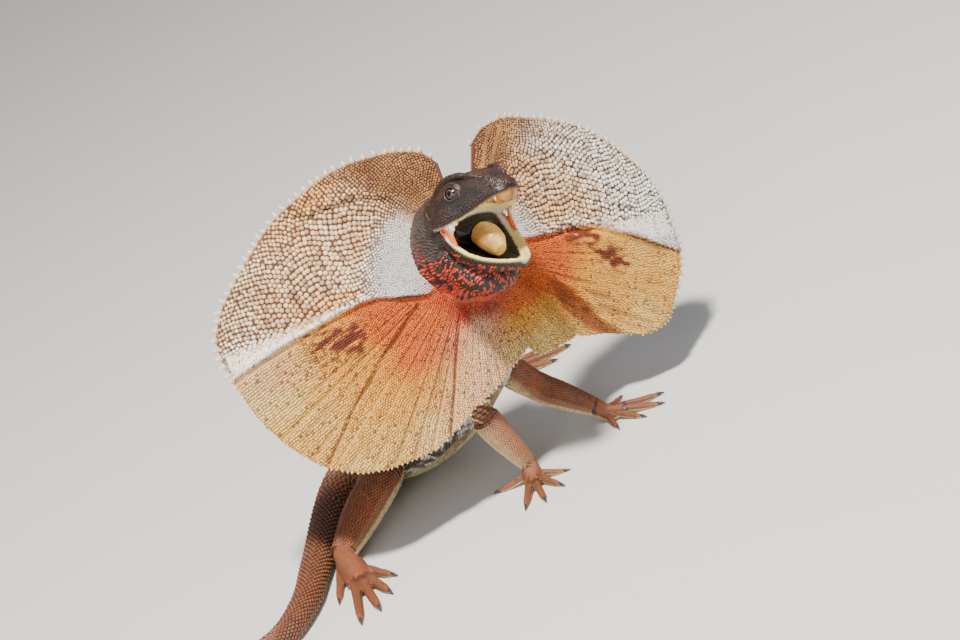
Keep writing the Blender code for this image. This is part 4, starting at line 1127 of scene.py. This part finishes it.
def tube_frame(line):
    """Distance along a line, its direction, and two vectors across it that turn as little as they can."""
    centre = line[:, :3]
    flow = unit(np.gradient(centre, axis=0))
    side = unit(np.cross(flow[0], (0.3, 0.2, 0.93)))
    sides = []
    for direction in flow:
        side = unit(side - direction * (side @ direction))
        sides.append(side)
    sides = np.array(sides)
    arc = np.concatenate(([0], np.cumsum(np.linalg.norm(np.diff(centre, axis=0), axis=1))))
    return arc, flow, sides, np.cross(flow, sides)


def line_coat(name, size_of, chart_low, chart_high):
    """Scales in rings round one line of the body, each ring half a scale on from the last."""
    line = LINES[name]
    arc, flow, sides, thirds = tube_frame(line)
    number = LINE_NAMES.index(name)
    root, normal, along, size, chart = [], [], [], [], []
    place, row = 0.0, 0
    while place < arc[-1]:
        values = [np.array([np.interp(place, arc, column[:, i]) for i in range(3)])
                  for column in (line[:, :3], flow, sides, thirds)]
        centre, direction, side, third = values
        width = np.interp(place, arc, line[:, 3])
        spacing = size_of(place / arc[-1], width)
        count = max(6, round(2 * math.pi * width / spacing))
        for i in range(count):
            q = (i + 0.5 * (row % 2)) * 2 * math.pi / count
            ray = side * math.cos(q) + third * math.sin(q)
            hit, _, index, _ = SKIN_TREE.ray_cast(Vector(centre), Vector(ray), 2.6 * width + 5)
            if hit is None:
                continue
            root.append(hit)
            normal.append(SKIN_NORMALS[SKIN_TRIANGLES[index]].mean(axis=0))
            along.append(direction)
            size.append(spacing)
            chart.append((place / arc[-1], chart_low + (chart_high - chart_low) * (q / 2 / math.pi % 1)))
        place += spacing * 0.8
        row += 1
    if not root:
        return None
    root = np.array(root)
    nearest = nearest_line(root)
    keep = nearest == number
    chart = np.array(chart)
    if name.endswith("_palm"):
        toes = np.char.startswith(np.array(LINE_NAMES), name[:-5] + "_digit")
        keep |= toes[nearest] & (chart[:, 0] > 0.7)
    if name == "spine":
        keep &= in_frill(root)[0] < -3.0
    keep &= (root[:, 2] > 0.5) | (np.array(normal)[:, 2] > -0.5)
    coat = {"root": root, "normal": unit(np.array(normal)), "along": np.array(along),
            "spacing": np.array(size), "chart": chart * 0.98 + 0.01}
    return chosen(coat, keep)


def spine_scale(share, width):
    return 2.4 if width > 20 else max(0.9, min(3.5, 0.31 * width))


def limb_scale(share, width):
    return 1.15 + 0.085 * width


def digit_scale(share, width):
    return 1.15


def dressed(coat, length, wide, tall):
    """Add colours and sizes to a coat of roots."""
    owner = node_at(coat["root"])
    coat["colour"] = skin_colour(coat["root"], coat["normal"], owner)
    s = coat["spacing"][:, None]
    coat["size"] = np.concatenate((s * length, s * wide, s * tall), axis=1)
    coat["root"] = coat["root"] - coat["normal"] * 0.04
    legs = is_node(owner, *(f"{part}_{side}" for part in ("thigh", "shank", "forearm") for _, side in SIDES))
    # Share of the pale keel colour: a painted highlight, larger on the legs' downward-facing scales, where
    # the skin is also pale underneath.
    coat["keel"] = 0.12 + 0.26 * legs * smooth(0.4, -0.2, coat["normal"][:, 2])
    coat["keel"] = np.where(is_node(owner, *HEAD_FLESH), 0.0, coat["keel"])
    return coat


def sprinkle(spacing):
    """Roots spread over the skin's triangles, at least about the local spacing apart."""
    a, b, c = (SKIN_POINTS[SKIN_TRIANGLES[:, i]] for i in range(3))
    area = np.linalg.norm(np.cross(b - a, c - a), axis=1) / 2
    expected = np.where(spacing > 0, area / np.maximum(spacing, 0.1) ** 2 * 6, 0)
    triangle = np.repeat(np.arange(len(area)), draw.poisson(expected))
    draw.shuffle(triangle)
    u, v = draw.random((2, len(triangle)))
    u, v = np.where(u + v > 1, 1 - u, u)[:, None], np.where(u + v > 1, 1 - v, v)[:, None]
    spots = a[triangle] * (1 - u - v) + b[triangle] * u + c[triangle] * v
    apart = spacing[triangle] * 0.84
    cells, kept = {}, []
    keys = np.floor(spots / 2.5).astype(int)
    near = [(x, y, z) for x in (-1, 0, 1) for y in (-1, 0, 1) for z in (-1, 0, 1)]
    listed = spots.tolist()
    for n, (key, spot, gap) in enumerate(zip(keys.tolist(), listed, (apart ** 2).tolist())):
        clash = False
        for x, y, z in near:
            for other in cells.get((key[0] + x, key[1] + y, key[2] + z), ()):
                if (spot[0] - other[0])**2 + (spot[1] - other[1])**2 + (spot[2] - other[2])**2 < gap:
                    clash = True
                    break
            if clash:
                break
        if not clash:
            cells.setdefault(tuple(key), []).append(spot)
            kept.append(n)
    kept = np.array(kept)
    return spots[kept], triangle[kept], spacing[triangle[kept]]


def face_spacing():
    """Spacing of scales on each triangle of head, jaw and front of the neck; nought where none grow."""
    middle = SKIN_POINTS[SKIN_TRIANGLES].mean(axis=1)
    normal = unit(SKIN_NORMALS[SKIN_TRIANGLES].mean(axis=1))
    ahead, radius, angle = in_frill(middle)
    near = (ahead > -4.0) & (middle[:, 2] > 95.0) & (radius < 75)
    owner = np.full(len(middle), -1)
    owner[near] = node_at(middle[near])
    face = near & is_node(owner, *HEAD_FLESH)
    h, j = in_head(middle), in_jaw(middle)
    lining = sum(lining_shares(middle, normal, owner)) > 0.3
    lips = (is_node(owner, "head") & (h[:, 2] < 2.6) & (h[:, 0] > -2)) | (
        is_node(owner, "lower_jaw") & (j[:, 2] > -2.6) & (j[:, 0] > 0))
    spacing = 1.35 + 0.25 * smooth(30, 0, h[:, 0])
    neck = is_node(owner, "neck", "lower_jaw")
    spacing = np.where(neck, 1.65 + 0.3 * smooth(30, 5, ahead), spacing)
    for side in (-1, 1):
        eye, ear = (np.linalg.norm(h - np.array(place) * (1, side, 1), axis=1)
                    for place in (EYE_PLACE, EAR_PLACE))
        spacing = spacing * (1 - 0.3 * bump(eye, 8, 5))
        face &= (eye > 8.2) & (ear > EAR_RADIUS + 0.5)
    return np.where(face & ~lining & ~lips, spacing, 0.0)


def face_coat():
    spots, triangle, spacing = sprinkle(face_spacing())
    owner = node_at(spots)
    normal = unit(SKIN_NORMALS[SKIN_TRIANGLES[triangle]].mean(axis=1))
    f = (spots - FRILL_CENTRE) @ FRILL_AXES
    radial = unit(f[:, 1:2] * FRILL_AXES[:, 1] + f[:, 2:] * FRILL_AXES[:, 2])
    along = np.where(is_node(owner, "head")[:, None], -HEAD_AXES[:, 0], radial - 0.5 * FRILL_AXES[:, 0])
    h = in_head(spots)
    ahead, radius, angle = in_frill(spots)
    jaw = is_node(owner, "neck", "lower_jaw")
    around = 0.5 + np.arctan2(h[:, 1], h[:, 2]) / (2 * math.pi)
    chart = np.stack((0.02 + 0.46 * around + 0.5 * jaw, np.clip((h[:, 0] + 75) / 130, 0.01, 0.99)), 1)
    coat = {"root": spots, "normal": normal, "along": along, "spacing": spacing, "chart": chart}
    coat = dressed(coat, 0.68, 0.60, 0.30)
    streak = neck_streaks(ahead, radius, angle)
    near_root = smooth(20, 7, ahead) * bump(angle, -85, 70)
    below = smooth(-186, -160, angle) * smooth(8, -20, angle)
    share = jaw * below * (0.40 + 0.55 * near_root - 0.5 * (streak < -0.45) * near_root)
    spotted = draw.random(len(spots)) < share
    red = mix(SPOT_RED, RED, near_root)
    coat["colour"] = np.where(spotted[:, None], red, coat["colour"])
    black = jaw & ~spotted & (below > 0.3) & (draw.random(len(spots)) < 0.75)
    coat["colour"] = np.where(black[:, None], NEAR_BLACK, coat["colour"])
    coat["size"][:, 0] *= 1 + jaw * (0.25 + 0.45 * near_root)
    coat["size"][:, 1] *= 1 - 0.12 * near_root
    return coat


def lip_coat():
    """A row of larger plates along each lip."""
    root, normal, along, chart = [], [], [], []
    for widths, place, height, row in ((SKULL_WIDTHS, head_point, 1.5, 0), (JAW_WIDTHS, jaw_point, -1.5, 1)):
        for side in (-1, 1):
            for x in np.arange(2.0, 46.5 if row == 0 else 50.5, 1.9):
                aim = place(x, side * (float(between(widths, x)) + 1.0), height)
                ahead = place(x + 1.0, side * (float(between(widths, x + 1.0)) + 1.0), height)
                hit, _, index, _ = SKIN_TREE.find_nearest(Vector(aim))
                root.append(hit)
                normal.append(SKIN_NORMALS[SKIN_TRIANGLES[index]].mean(axis=0))
                along.append(aim - ahead)
                chart.append((x / 55, 0.2 + 0.4 * row + 0.1 * side))
    coat = {"root": np.array(root), "normal": unit(np.array(normal)), "along": unit(np.array(along)),
            "spacing": np.full(len(root), 1.9), "chart": np.array(chart)}
    coat = dressed(coat, 0.56, 0.72, 0.22)
    coat["colour"] = np.tile(mix(NEAR_BLACK, HEAD_BROWN, 0.5), (len(root), 1))
    return coat


# Eyes, lids, teeth, tongue and claws


def eye_axes(side):
    """Middle of an eye, its line of sight and two vectors across it."""
    centre = head_point(EYE_PLACE[0], side * EYE_PLACE[1], EYE_PLACE[2])
    look = unit(HEAD_AXES @ np.array((EYE_LOOK[0], side * EYE_LOOK[1], EYE_LOOK[2])))
    forward = unit(HEAD_AXES[:, 0] - look * (HEAD_AXES[:, 0] @ look))
    return centre, look, forward, np.cross(look, forward)


def eye_ball(side, word, material):
    """A ball whose poles lie on the line of sight, with a clear bulge over the iris."""
    centre, look, forward, third = eye_axes(side)
    rows, turns = 40, 48
    points, tones = [], []
    for i in range(rows + 1):
        tilt = math.pi * i / rows
        degrees = math.degrees(tilt)
        reach = EYE_RADIUS - 0.45 + 0.35 * bump(degrees, 0, 26)
        tone = mix(EYE_DARK, IRIS, smooth(33, 29, degrees) * 0.9)
        # Painted highlight: a thin grey ring on the iris.
        tone = mix(tone, IRIS_HIGHLIGHT_RING, bump(degrees, 21.5, 1.6) * 0.55)
        tone = mix(tone, PUPIL, smooth(15, 12, degrees))
        for t in range(turns):
            a = 2 * math.pi * t / turns
            points.append(centre + look * math.cos(tilt) * reach
                          + (forward * math.cos(a) + third * math.sin(a)) * max(math.sin(tilt) * reach, 0.01))
            tones.append(tone)
    piece = mesh_object(f"eye_ball_{word}", np.array(points), ring_faces(rows, turns), np.array(tones))
    turn_outward(piece.data, WELD)
    finished(piece, material)
    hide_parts(f"eye_{word}")


def lids(side, word, material):
    """Ringed folds of skin round the eye."""
    centre, look, forward, third = eye_axes(side)
    turns, folds = 64, len(LID_PROFILE) - 1
    points, tones = [], []
    for k, (ring, out) in enumerate(LID_PROFILE):
        for t in range(turns):
            a = 2 * math.pi * t / turns
            wide = ring * (1.06 + 0.03 * math.cos(2 * a))
            wave = 0.10 * math.sin(a * 11 + k) + 0.06 * math.sin(a * 19 + 2 * k)
            points.append(centre + look * (out + wave * (k > 1)) + forward * wide * math.cos(a)
                          + third * wide * 0.94 * math.sin(a))
            tones.append(mix(NEAR_BLACK, LID_PINK, LID_TONE[k]))
    points, tones = np.array(points), np.array(tones)
    inner, last = len(points), folds * turns
    faces = [face[::-1] for face in ring_faces(folds, turns)] + ring_faces(folds, turns, inner)
    for t in range(turns):
        q = (t + 1) % turns
        faces.append((t, inner + t, inner + q, q))
        faces.append((last + t, last + q, inner + last + q, inner + last + t))
    both = np.concatenate((points, points - look * 1.6))
    piece = mesh_object(f"lids_{word}", both, faces, np.concatenate((tones, tones * 0.5)))
    turn_outward(piece.data)
    finished(piece, material)


def lid_coat(side):
    """Rings of small scales on the folds round an eye."""
    centre, look, forward, third = eye_axes(side)
    roots, normals = [], []
    for ring, out in LID_RINGS:
        count = int(2 * math.pi * ring / LID_SPACING)
        for t in range(count):
            a = 2 * math.pi * t / count
            ahead, above = forward * math.cos(a), third * math.sin(a)
            roots.append(centre + look * out + ahead * ring * 1.07 + above * ring)
            normals.append(unit(look + (ahead + above) * (0.25 + 0.14 * (ring - 5))))
    count = len(roots)
    return {"root": np.array(roots), "normal": np.array(normals),
            "along": np.tile(-HEAD_AXES[:, 0], (count, 1)),
            "colour": np.tile(mix(NEAR_BLACK, HEAD_BROWN, 0.4), (count, 1)),
            "size": np.tile((0.48, 0.42, 0.22), (count, 1)),
            "chart": np.stack((np.linspace(0.05, 0.95, count), np.full(count, 0.3 + 0.2 * side)), 1)}


def teeth(material):
    tubes, tones = [], []

    def add(place, x, y, z, length, radius, down):
        base = place(x, y, z)
        out = (HEAD_AXES if place is head_point else JAW_AXES)[:, 2] * down
        side = unit(np.cross(out, (0.1, 0.9, 0.3)))
        face = np.cross(out, side)
        tubes.append(horn_rings(base, out, side, face, length, radius, radius, 0.0))
        tones.append(np.array([IVORY * 0.7, IVORY * 0.85, IVORY, IVORY, IVORY]))

    for side in (-1, 1):
        for x in np.arange(14.0, 39.5, 2.0):
            add(head_point, x, side * (float(between(SKULL_WIDTHS, x)) - 2.2), -0.2, 1.5, 0.6, -1)
        add(head_point, 41.5, side * 7.9, -0.8, 3.4, 0.85, -1)
        add(head_point, 45.2, side * 4.4, -1.8, 2.0, 0.7, -1)
        for x in np.arange(12.0, 49.0, 1.7):
            add(jaw_point, x, side * (float(between(JAW_WIDTHS, x)) - 2.9), 0.3, 1.3, 0.5, 1)
    joined_tubes("teeth", tubes, tones, material)


def claws(material):
    tubes, tones = [], []
    for limb in HANDS:
        for start, out, length, thick in digit_rows(limb):
            tip = start + out * (length - 0.6) + np.array((0, 0, thick * 0.62))
            side = np.cross(out, (0, 0, 1))
            rings = []
            for t, w in ((-0.1, 0.62), (0.25, 0.6), (0.55, 0.42), (0.85, 0.2), (1.0, 0.04)):
                centre = tip + out * 5.6 * t + np.array((0, 0, 1.6 * t * (1 - t) - 0.2 * thick * t - 0.3 * t))
                ring = [centre + side * thick * 0.62 * w * math.cos(q)
                        + np.array((0, 0, thick * 0.85 * w * math.sin(q))) for q in
                        (math.pi / 4 * i for i in range(8))]
                rings.append(np.array(ring))
            floor_gap = min(ring[:, 2].min() for ring in rings)
            rings = [ring + np.array((0, 0, max(0.05 - floor_gap, 0.0))) for ring in rings]
            tubes.append(rings)
            tones.append(np.array([HORN * 0.8, HORN, HORN * 1.2, HORN * 0.8, HORN * 0.6]))
    joined_tubes("claws", tubes, tones, material)


def tongue(material):
    obj = joined_flesh(("tongue",), 0.0)
    obj.name = "tongue_flesh"
    voxel_form(obj, 0.5, 22)
    points, normals = read_mesh(obj.data)
    points = points + normals * (0.04 * lattice_noise(points, 1.1, 3) + 0.12)[:, None]
    move_points(obj, points)
    j = in_jaw(points)
    shade = smooth(0.5, -6.5, j[:, 1] + 0.9 * lattice_noise(points, 4.0, 5)) * 0.8
    shade = np.maximum(shade, smooth(-0.5, -4.0, j[:, 2]) * 0.8)
    paint(obj.data, mix(TONGUE_YELLOW, TONGUE_SHADE, shade))
    finished(obj, material)
    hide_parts("tongue")


# Materials


def node_material(name, roughness, bump_size, bump_depth, specular=0.5, vary=0.35):
    made = bpy.data.materials.new(name)
    made.use_nodes = True
    nodes, links = made.node_tree.nodes, made.node_tree.links
    shader = nodes["Principled BSDF"]
    shader.inputs["Specular IOR Level"].default_value = specular
    colour = nodes.new("ShaderNodeAttribute")
    colour.attribute_name = "Colour"
    place = nodes.new("ShaderNodeTexCoord")
    grain = nodes.new("ShaderNodeTexNoise")
    grain.inputs["Scale"].default_value = bump_size
    grain.inputs["Detail"].default_value = 4.0
    links.new(place.outputs["Object"], grain.inputs["Vector"])
    light_part = nodes.new("ShaderNodeMapRange")
    light_part.inputs["To Min"].default_value = 1.0 - vary
    light_part.inputs["To Max"].default_value = 1.0 + vary * 0.6
    links.new(grain.outputs["Fac"], light_part.inputs["Value"])
    tint = nodes.new("ShaderNodeVectorMath")
    tint.operation = "SCALE"
    links.new(colour.outputs["Color"], tint.inputs[0])
    links.new(light_part.outputs["Result"], tint.inputs["Scale"])
    links.new(tint.outputs["Vector"], shader.inputs["Base Color"])
    rough = nodes.new("ShaderNodeMapRange")
    rough.inputs["To Min"].default_value = max(roughness - 0.12, 0.03)
    rough.inputs["To Max"].default_value = roughness + 0.12
    links.new(grain.outputs["Fac"], rough.inputs["Value"])
    links.new(rough.outputs["Result"], shader.inputs["Roughness"])
    lift = nodes.new("ShaderNodeBump")
    lift.inputs["Strength"].default_value = bump_depth
    lift.inputs["Distance"].default_value = 0.0003
    links.new(grain.outputs["Fac"], lift.inputs["Height"])
    links.new(lift.outputs["Normal"], shader.inputs["Normal"])
    return made


# The skin


def skin_form(points, normals, owner):
    """How far the skin is moved along its normals: in by the depth of the coat, and folds."""
    palate, floor, cheek, throat = lining_shares(points, normals, owner)
    bare = np.clip(palate + floor + cheek + throat, 0, 1)
    offset = -SCALE_BED * (1 - bare) - 0.1 * bare
    h, j = in_head(points), in_jaw(points)
    ridges = 0.35 * np.sin(h[:, 0] * 1.7) * np.exp(-((np.abs(h[:, 1]) - 4) / 4) ** 2)
    offset += palate * smooth(34, 26, h[:, 0]) * ridges
    bumps = 1.4 * bump(h[:, 0], 43.5, 2.2) * bump(np.abs(h[:, 1]), 3.2, 2.0)
    bumps = bumps + 1.0 * bump(h[:, 0], 37, 2.2) * bump(np.abs(h[:, 1]), 3.6, 3.0)
    offset += palate * bumps
    offset += cheek * 0.5 * np.sin(h[:, 0] * 1.7 + 1.5)
    offset += floor * 0.35 * bump(np.abs(j[:, 1]), between(JAW_WIDTHS, j[:, 0]) - 3.2, 0.8)
    ahead, radius, angle = in_frill(points)
    neck = is_node(owner, "neck") & (ahead > -3)
    folds = np.sin(np.radians(angle) * 52 + 1.5 * lattice_noise(points, 12.0, 8))
    return offset + neck * (1 - bare) * 0.35 * folds * smooth(30, 8, ahead) * bump(angle, -90, 70)


def blurred(mesh, values, rounds):
    """Values of the mesh's points, each evened out with its neighbours'."""
    edges = np.empty(len(mesh.edges) * 2, np.int32)
    mesh.edges.foreach_get("vertices", edges)
    edges = edges.reshape(-1, 2)
    count = np.bincount(edges.ravel(), minlength=len(values))[:, None] + 1
    for _ in range(rounds):
        total = values.copy()
        for column in range(values.shape[1]):
            for one, other in ((0, 1), (1, 0)):
                total[:, column] += np.bincount(edges[:, one], values[edges[:, other], column], len(values))
        values = total / count
    return values


def make_skin():
    """One closed skin through all the nodes of flesh, drawn in by the depth of the scales."""
    obj = joined_flesh(FLESH, 0.28)
    obj.name = "skin"
    voxel_form(obj, VOXEL, 5)
    thin_body(obj)
    points, normals = read_mesh(obj.data)
    owner = node_at(points)
    points = points + normals * skin_form(points, normals, owner)[:, None]
    h = in_head(points)
    for side in (-1, 1):
        away, _ = ear_place(h, side)
        target = EAR_PLACE[1] - 2.2 + 0.5 * away ** 2
        sink = np.maximum(h[:, 1] * side - target, 0) * smooth(1.2, 0.95, away)
        points = points - np.outer(sink * side, HEAD_AXES[:, 1])
    move_points(obj, points)
    points, normals = read_mesh(obj.data)
    shares = blurred(obj.data, np.stack(lining_shares(points, normals, owner), 1), 4)
    colour = skin_colour(points, normals, owner, shares.T)
    bare = np.clip(shares.sum(axis=1), 0, 1)
    # Skin that shows between the scales is painted at under half its brightness: painted shade in the gaps;
    # the mouth's lining keeps its colour.
    paint(obj.data, colour * (0.45 + 0.55 * bare[:, None]))
    lined = np.array([bare[polygon.vertices[0]] > 0.5 for polygon in obj.data.polygons])
    obj.data.polygons.foreach_set("material_index", lined.astype(np.int32))
    obj.data.calc_loop_triangles()
    triangles = np.empty(len(obj.data.loop_triangles) * 3, np.int32)
    obj.data.loop_triangles.foreach_get("vertices", triangles)
    return obj, points, normals, triangles.reshape(-1, 3)


skin, SKIN_POINTS, SKIN_NORMALS, SKIN_TRIANGLES = make_skin()
SKIN_TREE = BVHTree.FromPolygons(SKIN_POINTS.tolist(), SKIN_TRIANGLES.tolist())
ROOT_ANGLES, ROOT_RADII = frill_roots()

hide = node_material("hide", 0.5, 900.0, 0.4)
head_hide = node_material("head_hide", 0.42, 1100.0, 0.4)
frill_skin = node_material("frill_skin", 0.58, 1200.0, 0.3, vary=0.22)
mouth_wet = node_material("mouth_wet", 0.3, 600.0, 0.15)
eye_gloss = node_material("eye_gloss", 0.13, 400.0, 0.0, 0.5, 0.1)
horn = node_material("horn", 0.35, 900.0, 0.2)

finished(skin, hide)
skin.data.materials.append(mouth_wet)
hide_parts(*FLESH)

frill = frill_sheet()
finished(frill, frill_skin)
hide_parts("frill_left_upper", "frill_left_lower", "frill_throat", "frill_right_lower",
            "frill_right_upper")
rim_spines(frill_skin)

for front, word in ((True, "front"), (False, "back")):
    coat = frill_coat(front)
    large = coat["spacing"] > 2.3
    scatter(f"pebbles_{word}", round_plate(), chosen(coat, large), frill_skin)
    scatter(f"frill_scales_{word}", hexagon_plate(), chosen(coat, ~large), frill_skin)

spine_coat = dressed(line_coat("spine", spine_scale, 0.0, 1.0), 0.62, 0.60, 0.30)
on_trunk = spine_coat["chart"][:, 0] < 0.36
scatter("back_scales", keeled_plate(), chosen(spine_coat, on_trunk), hide, True)
scatter("tail_scales", keeled_plate(), chosen(spine_coat, ~on_trunk), hide, True)
for limb in LIMBS:
    strips = [limb, limb + "_palm"] + [f"{limb}_digit_{n}" for n in range(5)]
    coats = []
    for k, name in enumerate(strips):
        grown = line_coat(name, limb_scale if k == 0 else digit_scale, k / 7, (k + 0.9) / 7)
        if grown is not None and len(grown["root"]):
            coats.append(dressed(grown, 0.62, 0.60, 0.28))
    scatter(f"{limb}_scales", keeled_plate(), joined(coats), hide, True)

scatter("face_scales", keeled_plate(), face_coat(), head_hide, True)
scatter("lip_plates", hexagon_plate(), lip_coat(), head_hide)
for side, word in SIDES:
    lids(side, word, head_hide)
scatter("lid_scales", hexagon_plate(), joined([lid_coat(side) for side, _ in SIDES]), head_hide)
for side, word in SIDES:
    eye_ball(side, word, eye_gloss)
teeth(horn)
claws(horn)
tongue(mouth_wet)


def camera():
    data = bpy.data.cameras.new("view")
    obj = bpy.data.objects.new("view", data)
    bpy.context.scene.collection.objects.link(obj)
    distance, pixels_per_mm, width = 1800.0, 1.65, 960
    a, e, r = (math.radians(v) for v in (-42.0, 20.0, 25.0))
    back = np.array((math.sin(a) * math.cos(e), -math.cos(a) * math.cos(e), math.sin(e)))
    right = np.array((math.cos(a), math.sin(a), 0.0))
    up = np.cross(back, right)
    turned_right = math.cos(r) * right - math.sin(r) * up
    turned_up = math.sin(r) * right + math.cos(r) * up
    place = to_frame(distance * back + np.array((0.0, 0.0, 106.0)))
    turn = Matrix(np.column_stack((turned_right, turned_up, back)).tolist()).to_4x4()
    obj.matrix_world = Matrix.Translation(place) @ turn
    data.sensor_width = 36.0
    data.lens = 36.0 * distance * pixels_per_mm / width
    data.clip_end = 30.0
    bpy.context.scene.camera = obj


def light(name, place, aim, size, power, colour):
    data = bpy.data.lights.new(name, "AREA")
    data.size = size
    data.energy = power
    data.color = colour
    obj = bpy.data.objects.new(name, data)
    bpy.context.scene.collection.objects.link(obj)
    obj.location = place
    obj.rotation_euler = (Vector(aim) - Vector(place)).to_track_quat("-Z", "Y").to_euler()


def studio():
    corners = [(-4000, -4000, 0), (4000, -4000, 0), (4000, 4000, 0), (-4000, 4000, 0)]
    floor = mesh_object("floor", np.array(corners, float), np.array([(0, 1, 2, 3)]))
    pale = bpy.data.materials.new("floor")
    pale.use_nodes = True
    shader = pale.node_tree.nodes["Principled BSDF"]
    shader.inputs["Base Color"].default_value = (0.62, 0.61, 0.59, 1.0)
    shader.inputs["Roughness"].default_value = 0.9
    floor.data.materials.append(pale)
    world = bpy.data.worlds.new("studio")
    bpy.context.scene.world = world
    world.use_nodes = True
    sky = world.node_tree.nodes["Background"]
    sky.inputs["Color"].default_value = (0.84, 0.87, 0.92, 1.0)
    sky.inputs["Strength"].default_value = 0.45
    light("key", (-0.45, -0.75, 2.1), (0.0, -0.15, 0.12), 0.26, 125.0, (1.0, 0.95, 0.87))
    light("fill", (-1.9, -1.3, 0.9), (0.0, -0.15, 0.1), 1.2, 22.0, (0.93, 0.96, 1.0))


camera()
studio()
